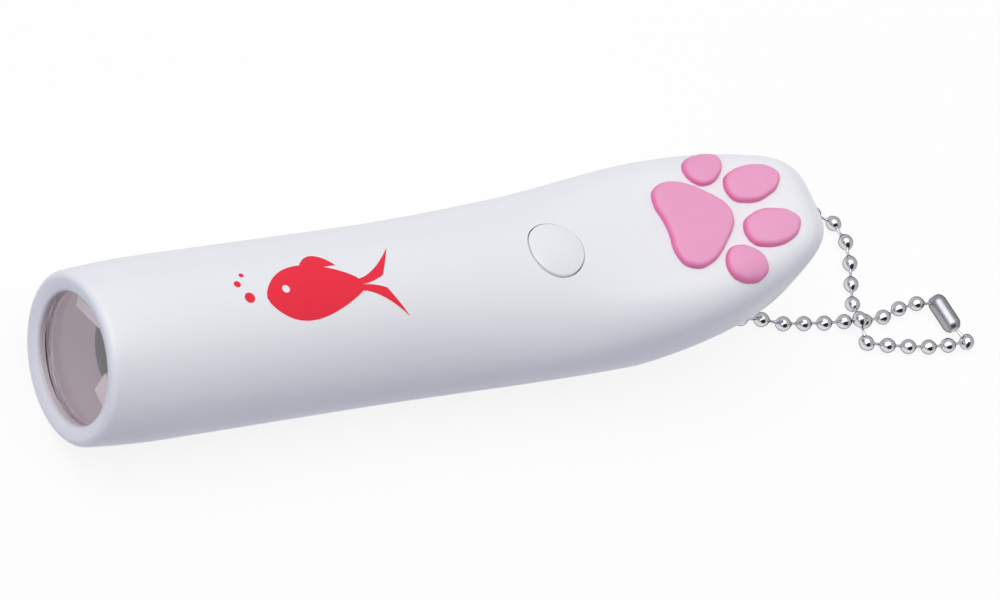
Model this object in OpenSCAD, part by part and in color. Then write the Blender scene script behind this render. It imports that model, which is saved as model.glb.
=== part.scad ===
// Hand-held light pointer for playing with a cat: a round torch body that swells
// into an upturned paw, with a thumb button, five soft pads and a ball chain.
// Inside the casing, s is the distance behind the front rim, and heights are
// measured from the axis of the round front tube.

/* [Casing] */
// Overall length from the front rim to the tail
body_l = 122; // [118:1:136]
// Outer diameter of the round front tube
tube_d = 25.5; // [25:0.25:28]
// Length of the front tube that stays round and straight
tube_l = 44; // [40:1:48]
// Wall thickness of the casing
wall = 1.8; // [1.5:0.1:2]
// Rounding of the outer front rim
rim_r = 1; // [0.6:0.1:1.4]
// Drop in the radius of the tube at its front end
front_drop = 0.7; // [0.4:0.1:0.9]
// Length over which the front end narrows
front_drop_l = 13; // [10:1:16]
// Rounding of the inner front rim
lip_r = 0.5; // [0.2:0.1:0.8]
// Depth of the flat that the underside rests on
foot_cut = 0.7; // [0.4:0.1:0.9]
// Solid plastic left in the nose of the tail
nose_solid = 15; // [14:0.5:16]

/* [Paw] */
// Width across the paw at its widest
paw_w = 28.3; // [27.5:0.1:31]
// Distance from the tail to the widest place
paw_back = 32.4; // [31:0.2:34]
// Height of the top at the thumb button
grip_h = 12.1; // [11.8:0.1:12.4]
// Distance from the tail to the thumb button
button_back = 47.5; // [47:0.5:49]
// Radius of the upward sweep of the top, from the button to the toes
sweep_r = 132; // [125:1:170]
// Rise of the widest level at the tail
mid_rise = 4.8; // [4:0.2:5.6]
// Distance from the tail to where the underside starts to rise
heel_back = 30.6; // [29.8:0.2:32]
// Length over which the top rounds down at the tail
tail_round = 8.7; // [8:0.1:10]
// Flatness of the paw's top: 2 is an ellipse, more is flatter
top_flat = 4.4; // [3.6:0.1:4.8]

/* [Pads] */
// Height of the pads above the casing
pad_h = 1.1; // [0.8:0.1:1.5]
// Gap between a pad and the casing under it
pad_gap = 0.05; // [0.04:0.01:0.1]
// Diameter of the pegs under the pads
peg_d = 2; // [1.6:0.1:2.4]
// Depth of the pegs below the casing's skin
peg_l = 2.6; // [2.2:0.1:3]
// Clearance around a peg in its hole, on the radius
peg_gap = 0.06; // [0.04:0.01:0.1]

/* [Button] */
// Diameter of the thumb button
button_d = 9; // [8.4:0.1:9.4]
// Gap around the button, on the radius
button_gap = 0.15; // [0.1:0.05:0.25]
// Height of the button's crown above the casing
button_up = 0.7; // [0.5:0.1:1]
// Radius of the button's crown
crown_r = 24; // [18:1:40]
// Travel of the button
button_travel = 0.5; // [0.4:0.1:0.6]
// Width of the square switch body
switch_w = 6; // [5.8:0.1:6.2]
// Height of the switch body
switch_h = 3.5; // [3.2:0.1:3.8]
// Diameter of the switch plunger
plunger_d = 3.5; // [3:0.1:3.6]

/* [Optics] */
// Diameter of the front lens
lens_d = 20.2; // [19.6:0.1:20.4]
// Diameter of the opening in front of the lens
opening_d = 18.4; // [17.4:0.1:18.6]
// Thickness of the front wall that the lens seats on
lip_t = 1.6; // [1.4:0.1:2]
// Thickness of the front lens at its middle
lens_t = 3; // [2.8:0.1:3.2]
// Radius of the curved rear face of the front lens
lens_curve = 150; // [120:5:180]
// Depth of the pale ring behind the front lens
ring_l = 6.5; // [6:0.1:7]
// Length of the dark inner barrel
barrel_l = 21.8; // [21:0.1:22.2]
// Wall of the lens ring and the barrel
barrel_wall = 1.4; // [0.8:0.1:1.6]
// Length of the lamp holder
holder_l = 11; // [10.8:0.1:12]
// Diameter of the condenser lens
condenser_d = 10; // [9:0.5:11]
// Diameter of the light-emitting diode
led_d = 5; // [4.8:0.1:5.2]
// Clearance of each optical piece in its bore, on the radius
optic_gap = 0.06; // [0.04:0.01:0.1]

/* [Board] */
// Thickness of the circuit board
board_t = 1.2; // [1:0.1:1.6]
// Width of the circuit board
board_w = 16.4; // [15.5:0.1:17]
// Distance from the lamp holder to the board
board_after = 6; // [5:0.5:7]
// Diameter of the posts that carry the board
post_d = 4.4; // [4:0.1:4.8]
// Distance between the board posts
post_spread = 11; // [10.5:0.1:11.5]

/* [Battery] */
// Diameter of a button cell
cell_d = 11.6; // [11.4:0.1:11.7]
// Thickness of a button cell
cell_t = 5.4; // [5.2:0.1:5.5]
// Number of button cells in the stack
cell_n = 3; // [3:1:3]
// Height of the cells above the axis of the front tube
cell_up = 2.2; // [2.1:0.1:2.4]
// Wall of the cell cradle
cradle_wall = 1.2; // [1:0.1:1.3]
// Distance from the tail to the rear of the cell cradle
cradle_back = 16.5; // [16.3:0.1:17]
// Length of the contact spring
spring_l = 1.8; // [1.6:0.1:2]
// Thickness of the contact sheet
sheet_t = 0.3; // [0.2:0.05:0.35]
// Diameter of the hook-up wires
wire_d = 1.1; // [0.8:0.1:1.2]

/* [Battery cover] */
// Height of the cover's seam, below the tube axis
seam_drop = 2.8; // [2.6:0.1:3.4]
// Distance from the front rim to the cover
cover_from = 57; // [55:0.5:58]
// Distance from the tail to the rear of the cover
cover_back = 18.5; // [18:0.5:19]
// Gap between the cover and the casing
cover_gap = 0.12; // [0.08:0.01:0.2]
// Diameter of the cover screw
screw_d = 1.9; // [1.7:0.1:2]
// Diameter of the screw's head
screw_head_d = 3.8; // [3.4:0.1:4]
// Outer diameter of the brass insert
insert_d = 3.4; // [3.2:0.1:3.5]

/* [Ball chain] */
// Diameter of the beads
bead_d = 2.3; // [2.1:0.05:2.4]
// Diameter of the links between the beads
link_d = 0.6; // [0.5:0.05:0.8]
// Diameter of the hole in the eyelet
eyelet_hole_d = 3.6; // [3.2:0.1:4]
// Thickness of the eyelet
eyelet_t = 4; // [3.4:0.1:4.4]

/* [Hidden] */
$fn = 64;
eps = 0.01;

// Places along the casing
tube_r = tube_d / 2;
axis_h = tube_r - foot_cut;
paw_s = body_l - paw_back;
button_s = body_l - button_back;
heel_s = body_l - heel_back;
cavity_end = body_l - nose_solid;
cover_to = body_l - cover_back;
loft_from = tube_l - 2;

// Places of the optics, from the front
bore_r = lens_d / 2 + optic_gap;
sleeve_r = lens_d / 2;
ring_in_r = sleeve_r - 0.9;
ring_s = lip_t + lens_t - (lens_curve - sqrt(pow(lens_curve, 2) - pow(ring_in_r, 2))) + 0.02;
clip_after = 0.5;
clip_t = 1;
clip_root = 0.4;
barrel_s = ring_s + ring_l;
slide_s = barrel_s + barrel_l;
slide_t = 0.4;
holder_s = slide_s + slide_t;
holder_end = holder_s + holder_l;
condenser_t = 2.6;
condenser_curve = 8;
condenser_seat = 0.4;
led_flange_d = led_d + 0.8;
led_flange_t = 1;
led_body_l = 7.7;
lead_w = 0.5;
lead_pitch = 2.54;
lead_lap = 3.5;

// Places of the board, the switch and the button
board_s = holder_end + board_after;
board_end = button_s + switch_w / 2 + 0.4;
board_top = -lead_w / 2;
post_s = board_s + 7;
frame_t = 0.3;
switch_top = board_top + switch_h;
plunger_top = switch_top + 1.75;
plunger_sink = 1.2;
plunger_gap = 0.06;
stem_d = 4;
flange_d = button_d + 1.8;
flange_t = 1;
flange_gap = 1.2;
hole_r = button_d / 2 + button_gap;

// Places of the cells, from the tail
cradle_to = body_l - cradle_back;
cell_r = cell_d / 2;
cell_gap = 0.15;
cell_apart = 0.02;
spring_base_s = cradle_to - cradle_wall - sheet_t;
cells_to = spring_base_s - spring_l;
cells_from = cells_to - cell_n * cell_t - (cell_n - 1) * cell_apart;
plate_s = cells_from - sheet_t;
cradle_from = plate_s - cradle_wall;
cradle_w = 2 * (cell_r + cell_gap + cradle_wall);
cradle_top = cell_up + cell_r + cell_gap + 0.5;
skirt_z = cell_up - 1.5;
end_wall_z = cell_up - 3.6;
end_wall_w = 9;
tail_w = 1.6;
tail_y = 3.6;
tail_z = cell_up + 4.6;
tail_out = 1.4;

// Places of the cover screw
screw_s = (board_end + cradle_from) / 2;
screw_post_r = min((cradle_from - board_end) / 2 - 0.15, 3);
seam_z = -seam_drop;
post_low = -5.2;
insert_l = 4;
screw_fit = 0.05;
head_h = 1.3;
head_z = -(tube_r - foot_cut) + 0.5;
head_room = 0.2;
screw_top = post_low + insert_l + 0.6;
web_half = 2;
flange_room = 0.4;

// Places of the eyelet under the tail
eyelet_s = body_l - 9;
eyelet_z = -4.2;
eyelet_r = eyelet_hole_d / 2 + 1;

// Colours
white = [0.92, 0.92, 0.94];
pink = [0.91, 0.62, 0.78];
clear = [0.80, 0.76, 0.80, 0.5];
black = [0.12, 0.12, 0.13];
steel = [0.75, 0.76, 0.78];
brass = [0.78, 0.62, 0.30];
green = [0.10, 0.38, 0.20];

// Shape helpers
function clamp(t) = min(max(t, 0), 1);
function ease(t) = let (u = clamp(t)) u * u * (3 - 2 * u);
function mix(a, b, t) = a + (b - a) * t;
function round_off(u, e) = pow(1 - pow(clamp(u), e), 1 / e);
function signed_pow(v, e) = sign(v) * pow(abs(v), e);

// Lines of the casing at a distance s behind the front rim
tail_e = 2;
heel_e = 1.05;
nose_e = 1.8;
flat_from = body_l - 49;
flat_to = body_l - 12;
function flare(s) = ease((s - tube_l) / (paw_s - tube_l));
function half_w(s) = s <= paw_s
  ? mix(tube_r, paw_w / 2, flare(s))
  : paw_w / 2 * round_off((s - paw_s) / (body_l - paw_s), tail_e);
function mid_z(s) = mid_rise * ease((s - tube_l) / (body_l - tail_round + 3 - tube_l));
function sweep_z(s) = s <= button_s
  ? mix(tube_r, grip_h, ease((s - tube_l) / (button_s - tube_l)))
  : grip_h + pow(s - button_s, 2) / (2 * sweep_r);
function top_z(s) = mid_z(s)
  + (sweep_z(s) - mid_z(s)) * round_off((s - body_l + tail_round) / tail_round, nose_e);
function low_z(s) = mid_z(s)
  - (mid_z(s) + tube_r) * round_off((s - heel_s) / (body_l - heel_s), heel_e);
function flatness(s) = mix(2, top_flat, ease((s - flat_from) / (flat_to - flat_from)));

// Height of the outer skin over a point of the plan, and half-width inside at a height
function skin_z(s, y) = let (n = flatness(s))
  mid_z(s) + (top_z(s) - mid_z(s)) * pow(1 - pow(clamp(abs(y) / half_w(s)), n), 1 / n);
function inside_y(s, z) = (half_w(s) - wall)
  * sqrt(1 - pow(clamp((mid_z(s) - z) / (mid_z(s) - low_z(s) - wall - foot_cut)), 2));

// One ring of the casing, drawn in by some amount on the sides, the top and below
function ring_at(s, place, sides, in_side, in_low) = let (
    n = flatness(s), m = mid_z(s), w = half_w(s) - in_side,
    up = top_z(s) - in_side - m, down = m - low_z(s) - in_low)
  [for (k = [0 : sides - 1]) let (a = 360 * k / sides, c = cos(a), d = sin(a), e = d >= 0 ? 2 / n : 1)
    [place, w * signed_pow(c, e), m + (d >= 0 ? up : down) * signed_pow(d, e)]];

// Closed solid through a list of rings with the same number of points
function ring_middle(ring) = [for (k = [0 : 2]) [for (p = ring) p[k]] * [for (p = ring) 1] / len(ring)];
module loft(rings) {
  sides = len(rings[0]);
  last = len(rings) - 1;
  count = sides * len(rings);
  points = concat([for (r = rings) each r], [ring_middle(rings[0]), ring_middle(rings[last])]);
  walls = [for (i = [0 : last - 1]) for (k = [0 : sides - 1])
    let (a = i * sides + k, b = i * sides + (k + 1) % sides, c = a + sides, d = b + sides)
    each [[a, c, b], [b, c, d]]];
  front = [for (k = [0 : sides - 1]) [k, (k + 1) % sides, count]];
  back = [for (k = [0 : sides - 1]) [last * sides + (k + 1) % sides, last * sides + k, count + 1]];
  polyhedron(points, concat(front, walls, back), convexity = 8);
}

module on_axis() {
  translate([-body_l / 2, 0, axis_h]) children();
}

module along_x(s) {
  translate([s, 0, 0]) rotate([0, 90, 0]) children();
}

module block(from, to) {
  translate(from) cube(to - from);
}

// Rear of the casing as one solid, and the space inside it
loft_steps = 26;
loft_sides = 40;
tip_inset = 0.15;
function loft_place(i) = loft_from + (body_l - loft_from) * sin(90 * i / loft_steps);
module rear_outer() {
  loft([for (i = [0 : loft_steps]) let (s = loft_place(i))
    ring_at(min(s, body_l - tip_inset), s, loft_sides, 0.04, 0.04)]);
}

cavity_steps = 16;
cavity_sides = 32;
module rear_inner() {
  from = loft_from - 1;
  loft([for (i = [0 : cavity_steps]) let (s = mix(from, cavity_end, i / cavity_steps))
    ring_at(s, s, cavity_sides, wall + 0.05, wall + foot_cut)]);
}

// Front tube with a rounded rim, and the stepped bore that the optics slide into
rim_steps = 8;
drop_steps = 8;
function front_r(s) = tube_r - front_drop * pow(1 - clamp(s / front_drop_l), 2);
module front_tube() {
  rim = [for (i = [0 : rim_steps - 1]) let (a = 90 * i / rim_steps, s = rim_r - rim_r * cos(a))
    [front_r(s) - rim_r + rim_r * sin(a), s]];
  narrow = [for (i = [0 : drop_steps]) let (s = mix(rim_r, front_drop_l, i / drop_steps)) [front_r(s), s]];
  along_x(0) rotate_extrude($fn = 96)
    polygon(concat([[0, 0]], rim, narrow, [[tube_r, tube_l], [0, tube_l]]));
}

module front_bore() {
  open_r = opening_d / 2;
  inner = [for (i = [0 : rim_steps]) let (a = 90 * i / rim_steps)
    [open_r + lip_r - lip_r * sin(a), lip_r - lip_r * cos(a)]];
  along_x(0) rotate_extrude($fn = 96) polygon(concat([[0, -1], [open_r + lip_r, -1]], inner,
    [[open_r, lip_t], [bore_r, lip_t], [bore_r, holder_end + 1], [tube_r - wall, holder_end + 1],
      [tube_r - wall, tube_l + 1], [0, tube_l + 1]]));
}

module foot_block() {
  block([-1, -tube_r, -2 * tube_r], [body_l + 1, tube_r, -axis_h]);
}

// Opening in the belly, smaller all round by a gap for the cover
module belly_block(gap) {
  block([cover_from + gap, -paw_w, -2 * tube_r], [cover_to - gap, paw_w, seam_z - gap]);
}

module pillar(s, y, r, from, to) {
  translate([s, y, from]) cylinder(r = r, h = to - from);
}

function skin_inside(s, y) = skin_z(s, y) - wall / 2;

// Posts and ribs that hang from the top of the casing
rib_t = 2;
rib_half = 5;
rib_places = [cradle_from + 4, cradle_to - 6];
post_high = top_z(button_s) - wall - flange_gap - flange_t - button_travel - flange_room;
module inner_posts() {
  for (y = [-1, 1] * post_spread / 2)
    pillar(post_s, y, post_d / 2, board_top, skin_inside(post_s, abs(y) + post_d / 2));
  pillar(screw_s, 0, screw_post_r, post_low, post_high);
  block([max(screw_s, button_s + flange_d / 2 + flange_room), -web_half, post_low + insert_l],
    [screw_s + screw_post_r, web_half, skin_inside(screw_s, web_half)]);
  for (s = rib_places)
    block([s, -rib_half, cradle_top], [s + rib_t, rib_half, skin_inside(s, rib_half)]);
}

board_pilot_r = 0.8;
board_pilot_l = 5;
module post_holes() {
  for (y = [-1, 1] * post_spread / 2)
    pillar(post_s, y, board_pilot_r, board_top - 1, board_top + board_pilot_l);
  pillar(screw_s, 0, insert_d / 2, post_low - 1, post_low + insert_l);
  pillar(screw_s, 0, screw_d / 2 + screw_fit, post_low, screw_top + 0.4);
}

module eyelet() {
  translate([eyelet_s, eyelet_t / 2, eyelet_z]) rotate([90, 0, 0])
    cylinder(r = eyelet_r, h = eyelet_t);
  block([eyelet_s - eyelet_r, -eyelet_t / 2, eyelet_z],
    [eyelet_s + eyelet_r, eyelet_t / 2, mid_z(eyelet_s)]);
}

module eyelet_bore() {
  translate([eyelet_s, eyelet_t, eyelet_z]) rotate([90, 0, 0])
    cylinder(d = eyelet_hole_d, h = 2 * eyelet_t);
}

module button_hole() {
  pillar(button_s, 0, hole_r, grip_h - 2 * wall, grip_h + wall);
}

peg_room = 0.2;
module peg_holes() {
  for (pad = pads) for (p = pad_pegs(pad)) {
    z = skin_z(p[0], p[1]);
    pillar(p[0], p[1], peg_d / 2 + peg_gap, z - peg_l - peg_room, z + pad_h);
  }
}

module body_shell() {
  color(white) on_axis() difference() {
    union() {
      difference() {
        union() {
          front_tube();
          rear_outer();
          eyelet();
        }
        front_bore();
        rear_inner();
        belly_block(0);
      }
      inner_posts();
    }
    foot_block();
    post_holes();
    button_hole();
    peg_holes();
    eyelet_bore();
  }
}

// Cover under the belly: its floor carries a screw tube, two cell saddles and a board prop
saddle_t = 1.6;
saddle_half = 3.5;
saddle_places = [mix(cells_from, cells_to, 0.25), mix(cells_from, cells_to, 0.7)];
prop_half = 3.5;
prop_t = 1.6;
lip_l = 6;
lip_thick = 1.2;
lip_up = 2;
lip_places = [cover_from + 7, cover_to - 14];
module cover_lip(s, side) {
  y = min(inside_y(s, seam_z), inside_y(s + lip_l, seam_z)) - 0.25;
  z = seam_z - cover_gap;
  root_y = min(inside_y(s, z - lip_up), inside_y(s + lip_l, z - lip_up)) + wall / 2;
  mirror([0, side < 0 ? 1 : 0, 0]) {
    block([s, y - lip_thick, z - lip_up], [s + lip_l, y, seam_z + lip_up]);
    block([s, y - lip_thick, z - lip_up], [s + lip_l, root_y, z - lip_up / 2]);
  }
}

module screw_space() {
  pillar(screw_s, 0, screw_head_d / 2 + head_room, -2 * tube_r, head_z + head_h);
  pillar(screw_s, 0, screw_d / 2 + head_room, -2 * tube_r, 0);
}

tube_gap = 0.1;
module battery_cover() {
  floor_z = -tube_r + foot_cut + wall / 2;
  color(white) on_axis() difference() {
    union() {
      difference() {
        intersection() {
          rear_outer();
          belly_block(cover_gap);
        }
        rear_inner();
      }
      pillar(screw_s, 0, screw_post_r, floor_z, post_low - tube_gap);
      block([button_s - prop_t / 2, -prop_half, floor_z],
        [button_s + prop_t / 2, prop_half, board_top - board_t - tube_gap]);
      for (s = saddle_places)
        block([s - saddle_t / 2, -saddle_half, low_z(s) + wall],
          [s + saddle_t / 2, saddle_half, cell_up - cell_r - tube_gap]);
      for (s = lip_places) for (side = [-1, 1]) cover_lip(s, side);
    }
    foot_block();
    screw_space();
  }
}

// Pan-head screw with a cross recess, and the brass insert that it turns in
cross_w = 0.55;
cross_l = 2.2;
cross_deep = 0.8;
module cover_screw() {
  color(steel) on_axis() difference() {
    union() {
      pillar(screw_s, 0, screw_head_d / 2, head_z, head_z + head_h);
      pillar(screw_s, 0, screw_d / 2, head_z + head_h - eps, screw_top);
    }
    for (turn = [0, 90]) translate([screw_s, 0, head_z]) rotate(turn)
      cube([cross_l, cross_w, 2 * cross_deep], center = true);
  }
}

module screw_insert() {
  color(brass) on_axis() difference() {
    pillar(screw_s, 0, insert_d / 2, post_low, post_low + insert_l);
    pillar(screw_s, 0, screw_d / 2 + screw_fit, post_low - 1, post_low + insert_l + 1);
  }
}

// Optics, from the front to the lamp
module front_lens() {
  color(clear) on_axis() intersection() {
    along_x(lip_t) cylinder(d = lens_d, h = lens_t);
    translate([lip_t + lens_t - lens_curve, 0, 0]) sphere(r = lens_curve, $fn = 200);
  }
}

// Flat clips inside the lens ring: turn, shift along the edge, distance of the edge from the axis, width
clips = [[60, -2, 5, 6.4], [176, 0.2, 4, 4]];
module lens_ring() {
  color([0.82, 0.76, 0.79]) on_axis() along_x(ring_s) {
    difference() {
      cylinder(r = sleeve_r, h = ring_l, $fn = 128);
      translate([0, 0, -1]) cylinder(r = ring_in_r, h = ring_l + 2, $fn = 128);
    }
    intersection() {
      translate([0, 0, clip_after]) cylinder(r = ring_in_r + clip_root, h = clip_t, $fn = 128);
      for (c = clips) rotate(90 + c[0])
        translate([c[2], c[1] - c[3] / 2, 0]) cube([sleeve_r, c[3], ring_l]);
    }
  }
}

module lens_barrel() {
  color([0.2, 0.2, 0.22]) on_axis() along_x(barrel_s) difference() {
    cylinder(r = sleeve_r, h = barrel_l);
    translate([0, 0, -1]) cylinder(r = sleeve_r - barrel_wall, h = barrel_l + 2);
  }
}

module picture_slide() {
  color([0.2, 0.2, 0.22]) on_axis() along_x(slide_s) cylinder(r = sleeve_r, h = slide_t);
}

module led_holder() {
  pocket_l = condenser_seat + condenser_t;
  color(black) on_axis() along_x(holder_s) difference() {
    cylinder(r = sleeve_r, h = holder_l);
    translate([0, 0, -1]) cylinder(d = condenser_d + 2 * optic_gap, h = pocket_l + 1);
    translate([0, 0, -1]) cylinder(d = led_d + 2 * optic_gap, h = holder_l + 2);
  }
}

module condenser_lens() {
  front_s = holder_s + condenser_seat;
  color(clear) on_axis() intersection() {
    along_x(front_s) cylinder(d = condenser_d, h = condenser_t);
    translate([front_s + condenser_curve, 0, 0]) sphere(r = condenser_curve);
  }
}

module led_lamp() {
  tip_s = holder_end - led_body_l;
  color([0.9, 0.92, 0.95, 0.7]) on_axis() {
    along_x(tip_s + led_d / 2) cylinder(d = led_d, h = led_body_l - led_d / 2 + led_flange_t);
    translate([tip_s + led_d / 2, 0, 0]) sphere(d = led_d);
    along_x(holder_end) cylinder(d = led_flange_d, h = led_flange_t);
  }
}

module led_leads() {
  color(steel) on_axis() for (y = [-1, 1] * lead_pitch / 2)
    block([holder_end + led_flange_t, y - lead_w / 2, -lead_w / 2],
      [board_s + lead_lap, y + lead_w / 2, lead_w / 2]);
}

// Board with its screws, resistor and switch
module circuit_board() {
  color(green) on_axis() difference() {
    block([board_s, -board_w / 2, board_top - board_t], [board_end, board_w / 2, board_top]);
    for (y = [-1, 1] * post_spread / 2)
      pillar(post_s, y, board_pilot_r + 0.1, board_top - board_t - 1, board_top + 1);
  }
}

board_head_r = 1.5;
board_head_h = 0.9;
module board_screws() {
  color(steel) on_axis() for (y = [-1, 1] * post_spread / 2) {
    pillar(post_s, y, board_head_r, board_top - board_t - board_head_h, board_top - board_t);
    pillar(post_s, y, board_pilot_r - screw_fit, board_top - board_t - eps,
      board_top + board_pilot_l - 0.5);
  }
}

resistor_r = 0.95;
resistor_l = 3.8;
resistor_leg = 0.5;
resistor_span = 6.6;
resistor_gap = 0.6;
module resistor() {
  s = board_s + lead_lap + resistor_r + resistor_gap;
  z = board_top + resistor_r + 0.15;
  color([0.85, 0.78, 0.62]) on_axis() {
    translate([s, 0, z]) rotate([90, 0, 0]) cylinder(r = resistor_r, h = resistor_l, center = true);
    translate([s, 0, z]) rotate([90, 0, 0]) cylinder(d = resistor_leg, h = resistor_span, center = true);
    for (end = [-1, 1])
      pillar(s, end * (resistor_span - resistor_leg) / 2, resistor_leg / 2, board_top, z);
  }
}

module switch_body() {
  w = switch_w / 2;
  well = switch_top - plunger_sink - button_travel - 0.3;
  color(black) on_axis() difference() {
    block([button_s - w, -w, board_top], [button_s + w, w, switch_top]);
    pillar(button_s, 0, plunger_d / 2 + plunger_gap, well, switch_top + 1);
  }
}

module switch_frame() {
  inset = 0.1;
  w = switch_w / 2 - inset;
  color(steel) on_axis() difference() {
    block([button_s - w, -w, switch_top], [button_s + w, w, switch_top + frame_t]);
    pillar(button_s, 0, plunger_d / 2 + plunger_gap, switch_top - 1, switch_top + 1);
  }
}

module switch_plunger() {
  color([0.85, 0.85, 0.86]) on_axis()
    pillar(button_s, 0, plunger_d / 2, switch_top - plunger_sink, plunger_top);
}

// Thumb button: crowned cap, retaining flange and stem
module button_cap() {
  crown_z = top_z(button_s) + button_up;
  flange_top = top_z(button_s) - wall - flange_gap;
  color(white) on_axis() {
    intersection() {
      pillar(button_s, 0, button_d / 2, flange_top - flange_t, crown_z + 1);
      translate([button_s, 0, crown_z - crown_r]) sphere(r = crown_r);
    }
    pillar(button_s, 0, flange_d / 2, flange_top - flange_t, flange_top);
    pillar(button_s, 0, stem_d / 2, plunger_top, flange_top - flange_t + eps);
  }
}

// Cradle, cells and contacts
module contact_tail(s, out) {
  block([min(s, s + out), tail_y - tail_w / 2, tail_z],
    [max(s, s + out), tail_y + tail_w / 2, tail_z + sheet_t]);
}

module cradle_slots() {
  for (s = [cradle_from - 1, cradle_to - cradle_wall - 1])
    block([s, tail_y - tail_w / 2 - cell_gap, tail_z - cell_gap],
      [s + cradle_wall + 2, tail_y + tail_w / 2 + cell_gap, tail_z + sheet_t + cell_gap]);
}

module cell_cradle() {
  w = cradle_w / 2;
  hollow = cell_r + cell_gap;
  color(black) on_axis() difference() {
    union() {
      block([cradle_from, -w, skirt_z], [cradle_to, w, cradle_top]);
      for (s = [cradle_from, cradle_to - cradle_wall])
        block([s, -end_wall_w / 2, end_wall_z], [s + cradle_wall, end_wall_w / 2, skirt_z + eps]);
    }
    translate([0, 0, cell_up]) along_x(cradle_from + cradle_wall)
      cylinder(r = hollow, h = cradle_to - cradle_from - 2 * cradle_wall);
    block([cradle_from + cradle_wall, -hollow, -tube_r], [cradle_to - cradle_wall, hollow, cell_up]);
    cradle_slots();
  }
}

cap_t = 0.5;
cap_inset = 0.9;
module button_cells() {
  color(steel) on_axis() translate([0, 0, cell_up])
    for (k = [0 : cell_n - 1]) along_x(cells_from + k * (cell_t + cell_apart)) {
      cylinder(r = cell_r, h = cell_t - cap_t);
      cylinder(r = cell_r - cap_inset, h = cell_t);
    }
}

plate_half = 3.6;
module contact_plate() {
  color(brass) on_axis() {
    block([plate_s, -plate_half, cell_up - plate_half],
      [plate_s + sheet_t, plate_half, tail_z + sheet_t]);
    contact_tail(plate_s + eps, -cradle_wall - tail_out);
  }
}

// Conical spring of round wire, on a base sheet
coil_turns = 2.5;
coil_steps = 12;
coil_wire = 0.4;
coil_wide = 4;
coil_narrow = 2.2;
function coil_point(i) = let (t = i / (coil_turns * coil_steps), a = 360 * i / coil_steps,
    r = mix(coil_wide, coil_narrow, t),
    x = mix(spring_base_s - coil_wire / 2 + 0.1, cells_to + coil_wire / 2 + 0.02, t))
  [x, r * cos(a), cell_up + r * sin(a)];
function coil_ring(i) = let (p = coil_point(i), a = 360 * i / coil_steps)
  [for (k = [0 : 5]) let (b = -60 * k)
    p + coil_wire / 2 * [sin(b), cos(b) * cos(a), cos(b) * sin(a)]];
module contact_spring() {
  color(steel) on_axis() {
    loft([for (i = [0 : coil_turns * coil_steps]) coil_ring(i)]);
    block([spring_base_s, -plate_half, cell_up - plate_half],
      [spring_base_s + sheet_t, plate_half, tail_z + sheet_t]);
    contact_tail(spring_base_s + sheet_t - eps, cradle_wall + tail_out);
  }
}

// Round tube along a list of points
function direction(a, b) = (b - a) / norm(b - a);
function along(points, i) = let (last = len(points) - 1)
  direction(points[max(i - 1, 0)], points[min(i + 1, last)]);
function tube_ring(points, i, r, sides) = let (d = along(points, i),
    side = direction([0, 0, 0], cross(d, abs(d[2]) < 0.9 ? [0, 0, 1] : [0, 1, 0])), up = cross(side, d))
  [for (k = [0 : sides - 1]) let (a = -360 * k / sides) points[i] + r * (cos(a) * side + sin(a) * up)];
module wire(points) {
  loft([for (i = [0 : len(points) - 1]) tube_ring(points, i, wire_d / 2, 8)]);
}

// Hook-up wires from the board to the contact tails
wire_z = board_top + wire_d / 2 + 0.05;
lift_z = tail_z + sheet_t + wire_d / 2 + 0.05;
red_y = screw_post_r + wire_d / 2 + 0.5;
side_y = cradle_w / 2 + wire_d / 2 + 0.2;
module wire_red() {
  from = board_end - 1.8;
  color([0.75, 0.1, 0.1]) on_axis() wire([[from, red_y + 0.6, wire_z], [from + 1.6, red_y + 0.6, wire_z],
    [screw_s - 2, red_y + 0.4, wire_z + 0.9], [screw_s, red_y + 0.3, mix(wire_z, lift_z, 0.55)],
    [cradle_from - 1.8, tail_y + 0.4, lift_z + 0.1], [cradle_from - 0.3, tail_y, lift_z + 0.05]]);
}

module wire_black() {
  from = board_end - 1.8;
  color([0.1, 0.1, 0.1]) on_axis() wire([[from, -6.6, wire_z], [from + 1.6, -6.8, wire_z],
    [screw_s, -7.6, wire_z + 1], [cradle_from, -side_y, 2.4],
    [mix(cradle_from, cradle_to, 0.5), -side_y, 3.4], [cradle_to - 4, -side_y, 4.8],
    [cradle_to - 2, -side_y, cradle_top + 0.5], [cradle_to - 0.6, -side_y + 1.6, cradle_top + 0.9],
    [cradle_to + 0.4, -2.4, cradle_top + 0.8],
    [cradle_to + 0.7, 1.2, lift_z + 0.5], [cradle_to + 0.8, tail_y, lift_z]]);
}

// Pads of the paw: each outline is a smooth closed curve through a few points,
// given as distance from the tail and distance from the middle
main_half = [[28.9, 0], [29, 1.55], [29.3, 3.7], [28.6, 6.15], [26.35, 7.25], [23.95, 6.7],
  [22.2, 5.5], [20.9, 4.25], [19.8, 3.15], [18.75, 1.75], [18.3, 0]];
main_points = concat(main_half,
  [for (k = [len(main_half) - 2 : -1 : 1]) [main_half[k][0], -main_half[k][1]]]);
outer_points = [[22.35, 8.1], [21.8, 9.6], [20.55, 10.5], [19.2, 10.85], [17.65, 10.85],
  [16.15, 9.9], [16.25, 8.1], [17, 6.85], [17.95, 5.95], [19.15, 5.3], [20.8, 5.3], [22, 6.5]];
inner_points = [[17.75, 3.8], [17, 5.75], [15.1, 6.6], [13.55, 6.8], [11.95, 6.6], [10.15, 5.75],
  [9.15, 3.8], [10.35, 1.9], [12.05, 1.1], [13.55, 0.7], [15.15, 0.85], [17.1, 1.75]];
main_pegs = [[24.5, 3.6], [24.5, -3.6]];
outer_pegs = [[19.2, 8.1]];
inner_pegs = [[13.5, 3.8]];
pads = [[main_points, main_pegs, 1], [outer_points, outer_pegs, 1], [inner_points, inner_pegs, 1],
  [inner_points, inner_pegs, -1], [outer_points, outer_pegs, -1]];
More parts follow.
